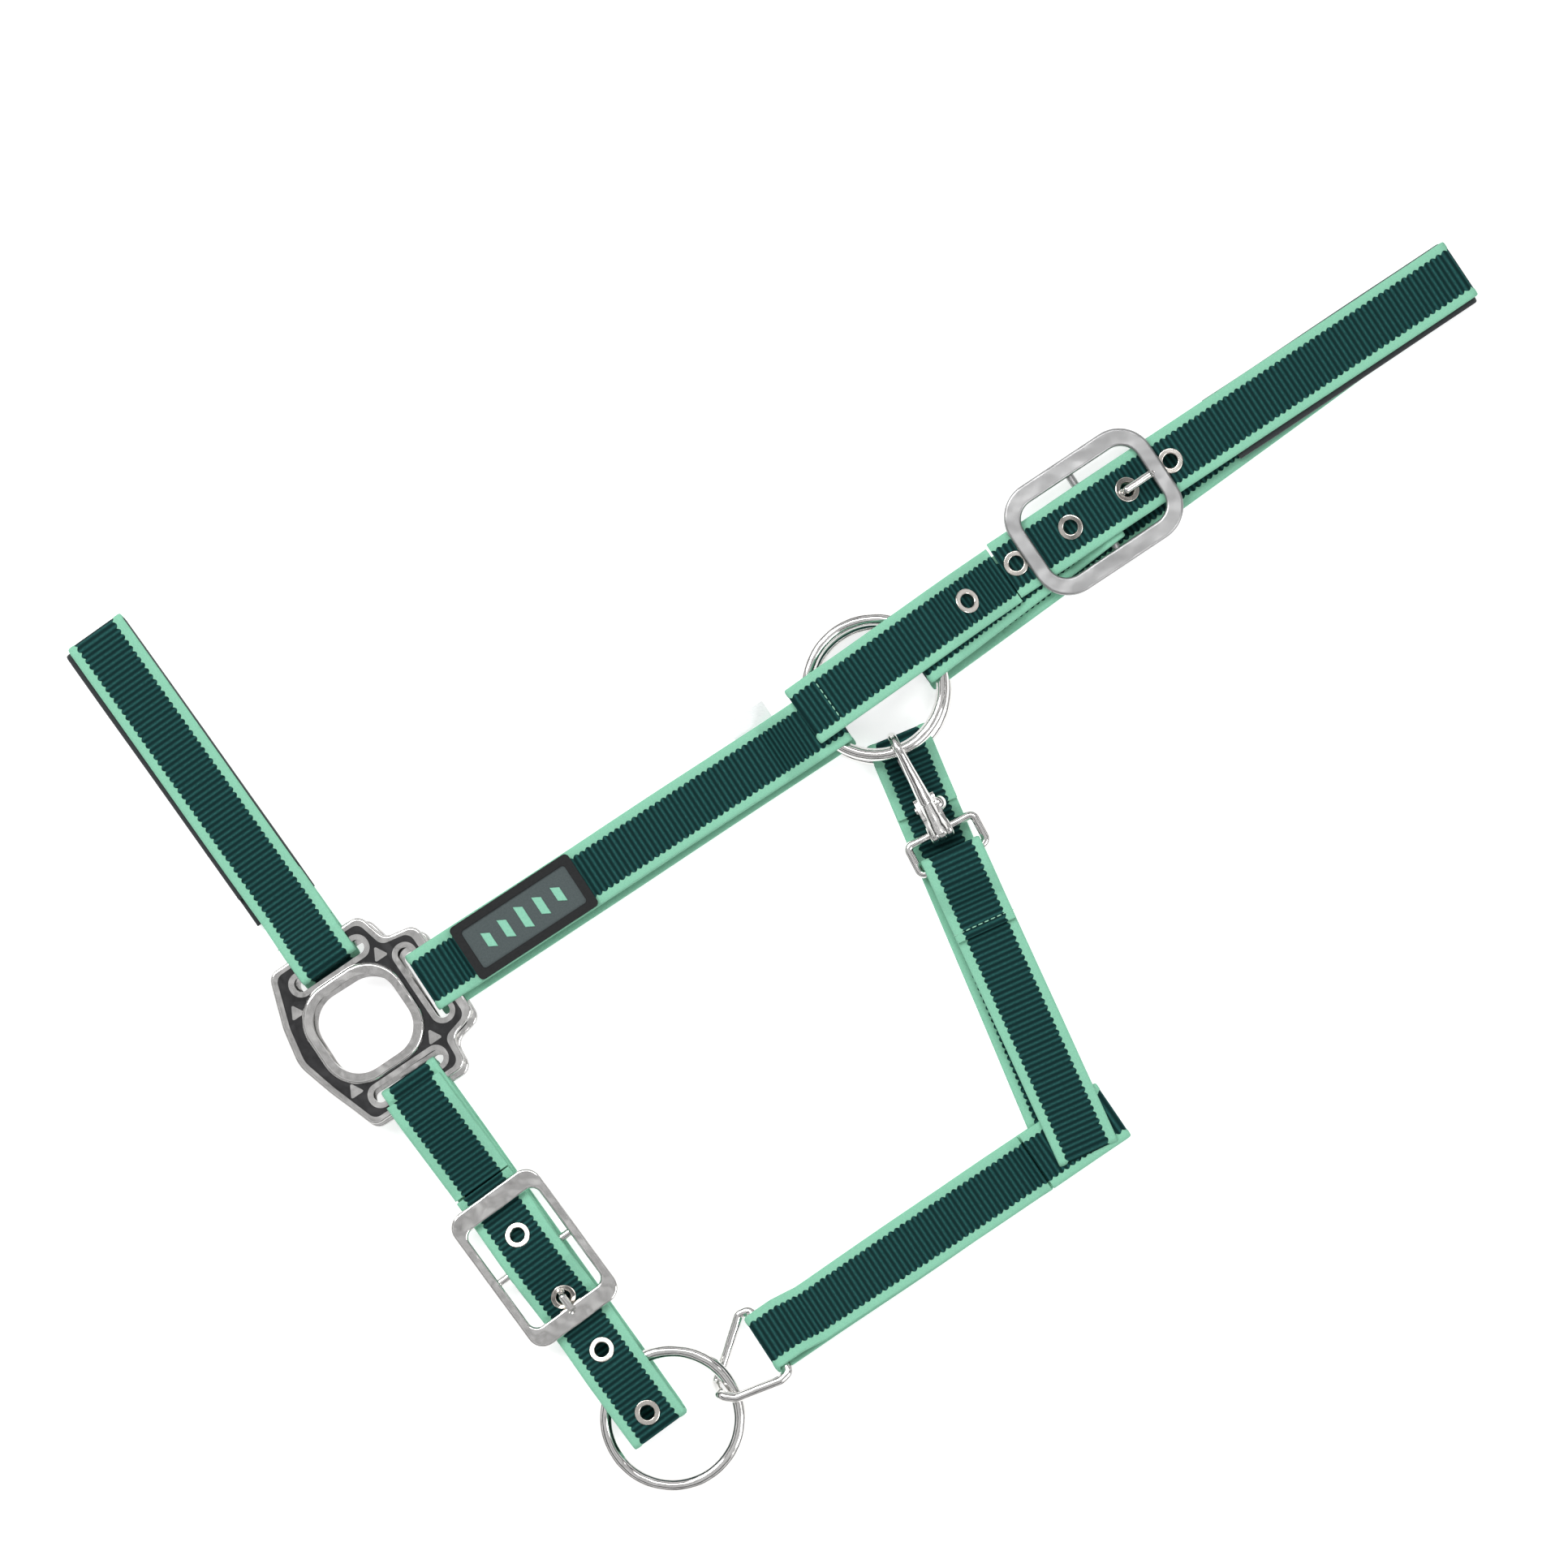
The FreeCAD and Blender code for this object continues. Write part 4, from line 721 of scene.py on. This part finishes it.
WEBBING = webbing_material()
PADDING = padding_material()
NICKEL = plated_material("polished_nickel", (0.83, 0.82, 0.80), 0.06, 0.10, 0.10, 0.12)
SATIN_NICKEL = plated_material("satin_nickel", (0.42, 0.42, 0.42), 0.24, 0.22, 0.12, 0.3)
WARM_NICKEL = plated_material("warm_nickel", (0.80, 0.76, 0.70), 0.10, 0.12, 0.12, 0.15)
RUBBER = moulded_material("black_rubber", (0.007, 0.008, 0.008), (0.017, 0.018, 0.019), 0.55, 900.0)
GREY_PANEL = moulded_material(
    "grey_panel", (0.045, 0.06, 0.062), (0.085, 0.105, 0.105), 0.6, 1400.0)
MINT_RELIEF = moulded_material("mint_relief", (0.16, 0.42, 0.30), (0.28, 0.60, 0.44), 0.55, 1200.0)
MINT_THREAD = moulded_material("mint_thread", (0.20, 0.48, 0.34), (0.36, 0.66, 0.49), 0.7, 3000.0)
BLACK_THREAD = moulded_material(
    "black_thread", (0.008, 0.010, 0.010), (0.03, 0.033, 0.033), 0.7, 3000.0)
SATIN = satin_material()


# ---- dress the straps and the metal --------------------------------------------------

for name, (body, node) in webs.items():
    piece = bpy.data.objects[name]
    piece.data.materials.clear()
    piece.data.materials.append(WEBBING)
    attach(piece, body)
    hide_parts(node)

for name, node in (("noseband_padding", "noseband_lining"), ("crown_padding", "crown_lining")):
    piece = bpy.data.objects[name]
    piece.data.materials.append(PADDING)
    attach(piece, "halter")
    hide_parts(node)

FINISHES = {
    "near_square": NICKEL, "far_square": NICKEL, "near_throat_ring": NICKEL,
    "far_throat_ring": NICKEL, "lead_ring": NICKEL, "lead_link": NICKEL, "throat_loop": NICKEL,
    "crown_buckle_frame": SATIN_NICKEL, "chin_buckle_frame": NICKEL,
    "crown_buckle_prong": NICKEL, "chin_buckle_prong": NICKEL, "snap_hook_body": NICKEL,
    "snap_hook_gate": SATIN_NICKEL, "snap_hook_rivet": NICKEL,
    "crown_strap_eyelets": WARM_NICKEL, "chin_strap_eyelets": WARM_NICKEL,
    "crown_tail_eyelet": WARM_NICKEL, "badge_frame": RUBBER, "badge_panel": GREY_PANEL,
    "size_label": SATIN}
# The squares' pockets get painted shade, a dark band just under their top faces.
for name in ("near_square", "far_square"):
    top = max(corner[2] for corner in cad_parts[name].bound_box)
    FINISHES[name] = plated_material(name + "_nickel", (0.83, 0.82, 0.80), 0.06, 0.10, 0.10, 0.12,
                                     shaded_recess=(top - 0.0029, top - 0.0019))
for name, material in FINISHES.items():
    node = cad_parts[name]
    for slot in node.material_slots:
        slot.material = material


# ---- stitches ------------------------------------------------------------------------

def stitch_tree():
    """Short thread stitches set end to end along a line."""
    tree = bpy.data.node_groups.new("Stitch row", "GeometryNodeTree")
    tree.interface.new_socket("Line", in_out="INPUT", socket_type="NodeSocketGeometry")
    for label, value in (("Pitch", 0.0026), ("Thread radius", 0.00024), ("Stitch length", 0.0019)):
        socket = tree.interface.new_socket(label, in_out="INPUT", socket_type="NodeSocketFloat")
        socket.default_value = value
    tree.interface.new_socket("Thread", in_out="INPUT", socket_type="NodeSocketMaterial")
    tree.interface.new_socket("Row", in_out="OUTPUT", socket_type="NodeSocketGeometry")
    start = tree.nodes.new("NodeGroupInput")
    end = tree.nodes.new("NodeGroupOutput")
    curve = tree.nodes.new("GeometryNodeMeshToCurve")
    points = tree.nodes.new("GeometryNodeCurveToPoints")
    points.mode = "LENGTH"
    stitch = tree.nodes.new("GeometryNodeMeshUVSphere")
    stitch.inputs["Segments"].default_value = 8
    stitch.inputs["Rings"].default_value = 6
    shape = tree.nodes.new("GeometryNodeTransform")
    scale = tree.nodes.new("ShaderNodeCombineXYZ")
    half = tree.nodes.new("ShaderNodeMath")
    half.operation = "MULTIPLY"
    half.inputs[1].default_value = 0.5
    instance = tree.nodes.new("GeometryNodeInstanceOnPoints")
    real = tree.nodes.new("GeometryNodeRealizeInstances")
    paint = tree.nodes.new("GeometryNodeSetMaterial")
    smooth = tree.nodes.new("GeometryNodeSetShadeSmooth")
    tree.links.new(start.outputs["Line"], curve.inputs["Mesh"])
    tree.links.new(curve.outputs[0], points.inputs["Curve"])
    tree.links.new(start.outputs["Pitch"], points.inputs["Length"])
    stitch.inputs["Radius"].default_value = 1.0
    tree.links.new(start.outputs["Stitch length"], half.inputs[0])
    tree.links.new(start.outputs["Thread radius"], scale.inputs[0])
    tree.links.new(start.outputs["Thread radius"], scale.inputs[1])
    tree.links.new(half.outputs[0], scale.inputs[2])
    tree.links.new(stitch.outputs["Mesh"], shape.inputs["Geometry"])
    tree.links.new(scale.outputs[0], shape.inputs["Scale"])
    tree.links.new(points.outputs["Points"], instance.inputs["Points"])
    tree.links.new(shape.outputs[0], instance.inputs["Instance"])
    tree.links.new(points.outputs["Rotation"], instance.inputs["Rotation"])
    tree.links.new(instance.outputs[0], real.inputs[0])
    tree.links.new(real.outputs[0], smooth.inputs[0])
    tree.links.new(smooth.outputs[0], paint.inputs[0])
    tree.links.new(start.outputs["Thread"], paint.inputs["Material"])
    tree.links.new(paint.outputs[0], end.inputs["Row"])
    return tree


STITCH = stitch_tree()


def stitches(name, rows, thread, body="halter", pitch=0.0026, length=0.0021,
             radius=0.00026):
    """Rows of stitches, each a list of bench points, made one plain mesh on a body."""
    verts, edges = [], []
    for row in rows:
        for order, point in enumerate(row):
            if order:
                edges.append((len(verts) - 1, len(verts)))
            verts.append((Vector(point) + HOME) * MM)
    mesh = bpy.data.meshes.new(name + "_line")
    mesh.from_pydata(verts, edges, [])
    holder = bpy.data.objects.new(name + "_line", mesh)
    bpy.context.scene.collection.objects.link(holder)
    modifier = holder.modifiers.new("Stitch row", "NODES")
    modifier.node_group = STITCH
    sockets = {item.name: item.identifier for item in STITCH.interface.items_tree}
    modifier[sockets["Pitch"]] = pitch
    modifier[sockets["Thread radius"]] = radius
    modifier[sockets["Stitch length"]] = length
    modifier[sockets["Thread"]] = thread
    graph = bpy.context.evaluated_depsgraph_get()
    made = bpy.data.meshes.new_from_object(holder.evaluated_get(graph))
    bpy.data.objects.remove(holder)
    piece = bpy.data.objects.new(name, made)
    bpy.context.scene.collection.objects.link(piece)
    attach(piece, body)
    return piece


def on_strap(start, turn, height, points):
    """Bench points from (reach, side) places on a flat stretch of strap."""
    return [(*along(start, turn, reach, side), height) for reach, side in points]


def cross_row(start, turn, height, reach, half=12.4):
    return on_strap(start, turn, height, [(reach, -half), (reach, half)])


THREAD_LIFT = WEB_T / 2 + 0.02
stitches("noseband_stitches", [cross_row(nose_start, nose_turn, 10.0 + THREAD_LIFT, 17.0)],
         BLACK_THREAD)
stitches("throat_stitches", [
    cross_row(LOOP_LOW_BAR, throat_turn, THROAT_LOW + WEB_T + SEAM + THREAD_LIFT, 28.5)],
    MINT_THREAD)
tail_rows = [cross_row(CROWN_BUCKLE, tail_turn, TAIL_Z + THREAD_LIFT, tail_long - 12.5)]
stitches("crown_tail_stitches", tail_rows, MINT_THREAD, body="crown_tail")

# ---- badge relief: five plain raised bars, slanted ------------------------------------

def slanted_bar(centre, turn, long, wide, low, tall):
    """One bar with bevelled top edges."""
    run, left = heading(turn), heading(turn + 90)
    levels = ((0.0, 0.0), (tall * 0.7, 0.0), (tall, 0.25))
    verts, faces = [], []
    for rise, inset_by in levels:
        for a, b in ((1, 1), (-1, 1), (-1, -1), (1, -1)):
            spot = Vector((centre[0], centre[1], low + rise))
            spot += run * a * (long / 2 - inset_by) + left * b * (wide / 2 - inset_by)
            spot += run * b * wide * 0.28
            verts.append((spot + HOME) * MM)
    for level in range(2):
        for k in range(4):
            a, b = level * 4 + k, level * 4 + (k + 1) % 4
            faces.append((a, b, b + 4, a + 4))
    faces.append((8, 9, 10, 11))
    faces.append((3, 2, 1, 0))
    return verts, faces


BADGE_LONG = 57.0
badge_place = along(cheek_start, cheek_turn, 20.0 + BADGE_LONG / 2)
badge_z = NEAR_HIGH + WEB_T / 2 + SEAM + 1.7
verts, faces = [], []
for order in range(5):
    spot = along(badge_place, cheek_turn, (order - 2) * 8.4)
    bar_verts, bar_faces = slanted_bar(spot, cheek_turn + 90, 9.5 - abs(order - 2) * 1.6, 3.4,
                                       badge_z, 0.45)
    faces.extend([tuple(len(verts) + k for k in face) for face in bar_faces])
    verts.extend(bar_verts)
relief = bpy.data.meshes.new("badge_relief")
relief.from_pydata(verts, [], faces)
relief.materials.append(MINT_RELIEF)
relief_piece = bpy.data.objects.new("badge_relief", relief)
bpy.context.scene.collection.objects.link(relief_piece)
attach(relief_piece, "halter")


# ---- floor, light and camera ---------------------------------------------------------

def floor():
    mesh = bpy.data.meshes.new("floor")
    mesh.from_pydata([(-6, -6, 0), (6, -6, 0), (6, 6, 0), (-6, 6, 0)], [], [(0, 1, 2, 3)])
    material, _, shader = new_material("pale_floor")
    shader.inputs["Base Color"].default_value = (0.62, 0.62, 0.62, 1.0)
    shader.inputs["Emission Color"].default_value = (1.0, 1.0, 1.0, 1.0)
    shader.inputs["Emission Strength"].default_value = 0.66
    shader.inputs["Roughness"].default_value = 0.9
    shader.inputs["Specular IOR Level"].default_value = 0.1
    mesh.materials.append(material)
    piece = bpy.data.objects.new("floor", mesh)
    bpy.context.scene.collection.objects.link(piece)
    piece.location.z = -0.0002


def softbox(name, place, aim, size, watts):
    light = bpy.data.lights.new(name, "AREA")
    light.shape = "RECTANGLE"
    light.size, light.size_y = size
    light.energy = watts
    lamp = bpy.data.objects.new(name, light)
    bpy.context.scene.collection.objects.link(lamp)
    lamp.location = place
    lamp.rotation_euler = (Vector(aim) - Vector(place)).to_track_quat("-Z", "Y").to_euler()


floor()
softbox("key", (-1.1, 0.9, TIGHT), (0, 0, 0), (0.9, 0.9), 30.0)
softbox("fill", (1.3, -0.7, 1.5), (0, 0, 0), (1.0, 0.7), 14.0)
softbox("top", (0.0, 0.9, 2.2), (0, 0, 0), (1.4, 0.5), 12.0)

world = bpy.data.worlds.new("studio")
bpy.context.scene.world = world
world.use_nodes = True
sky = world.node_tree
background = sky.nodes["Background"]
direction = sky.nodes.new("ShaderNodeTexCoord")
height = sky.nodes.new("ShaderNodeSeparateXYZ")
sky.links.new(direction.outputs["Generated"], height.inputs[0])
ramp = sky.nodes.new("ShaderNodeValToRGB")
BANDS = ((0.0, 0.42), (0.02, 0.05), (0.22, 0.07), (0.30, 0.95), (0.62, 1.0), (0.70, 0.06),
         (0.80, 0.10), (0.87, 0.9), (1.0, 0.8))
while len(ramp.color_ramp.elements) < len(BANDS):
    ramp.color_ramp.elements.new(0.5)
for element, (place, level) in zip(ramp.color_ramp.elements, BANDS):
    element.position = place
    element.color = (level, level, level * 1.01, 1.0)
sky.links.new(height.outputs[2], ramp.inputs["Fac"])
patches = sky.nodes.new("ShaderNodeTexNoise")
patches.inputs["Scale"].default_value = 9.0
patches.inputs["Detail"].default_value = 1.0
sky.links.new(direction.outputs["Generated"], patches.inputs["Vector"])
depth = sky.nodes.new("ShaderNodeMapRange")
depth.inputs["From Min"].default_value = 0.40
depth.inputs["From Max"].default_value = 0.60
depth.inputs["To Min"].default_value = 0.22
sky.links.new(patches.outputs["Fac"], depth.inputs["Value"])
tint = sky.nodes.new("ShaderNodeVectorMath")
tint.operation = "SCALE"
sky.links.new(ramp.outputs["Color"], tint.inputs[0])
sky.links.new(depth.outputs[0], tint.inputs["Scale"])
sky.links.new(tint.outputs[0], background.inputs["Color"])
background.inputs["Strength"].default_value = 1.1

VIEW_WIDTH = 0.6376
CAMERA_HEIGHT = 2.4
lens = bpy.data.cameras.new("camera")
lens.type = "PERSP"
lens.sensor_width = 36.0
lens.lens = 36.0 * CAMERA_HEIGHT / VIEW_WIDTH
lens.clip_end = 20.0
camera = bpy.data.objects.new("camera", lens)
bpy.context.scene.collection.objects.link(camera)
camera.location = (0.0048, 0.0346, CAMERA_HEIGHT)
bpy.context.scene.camera = camera
bpy.context.scene.view_settings.view_transform = "Standard"
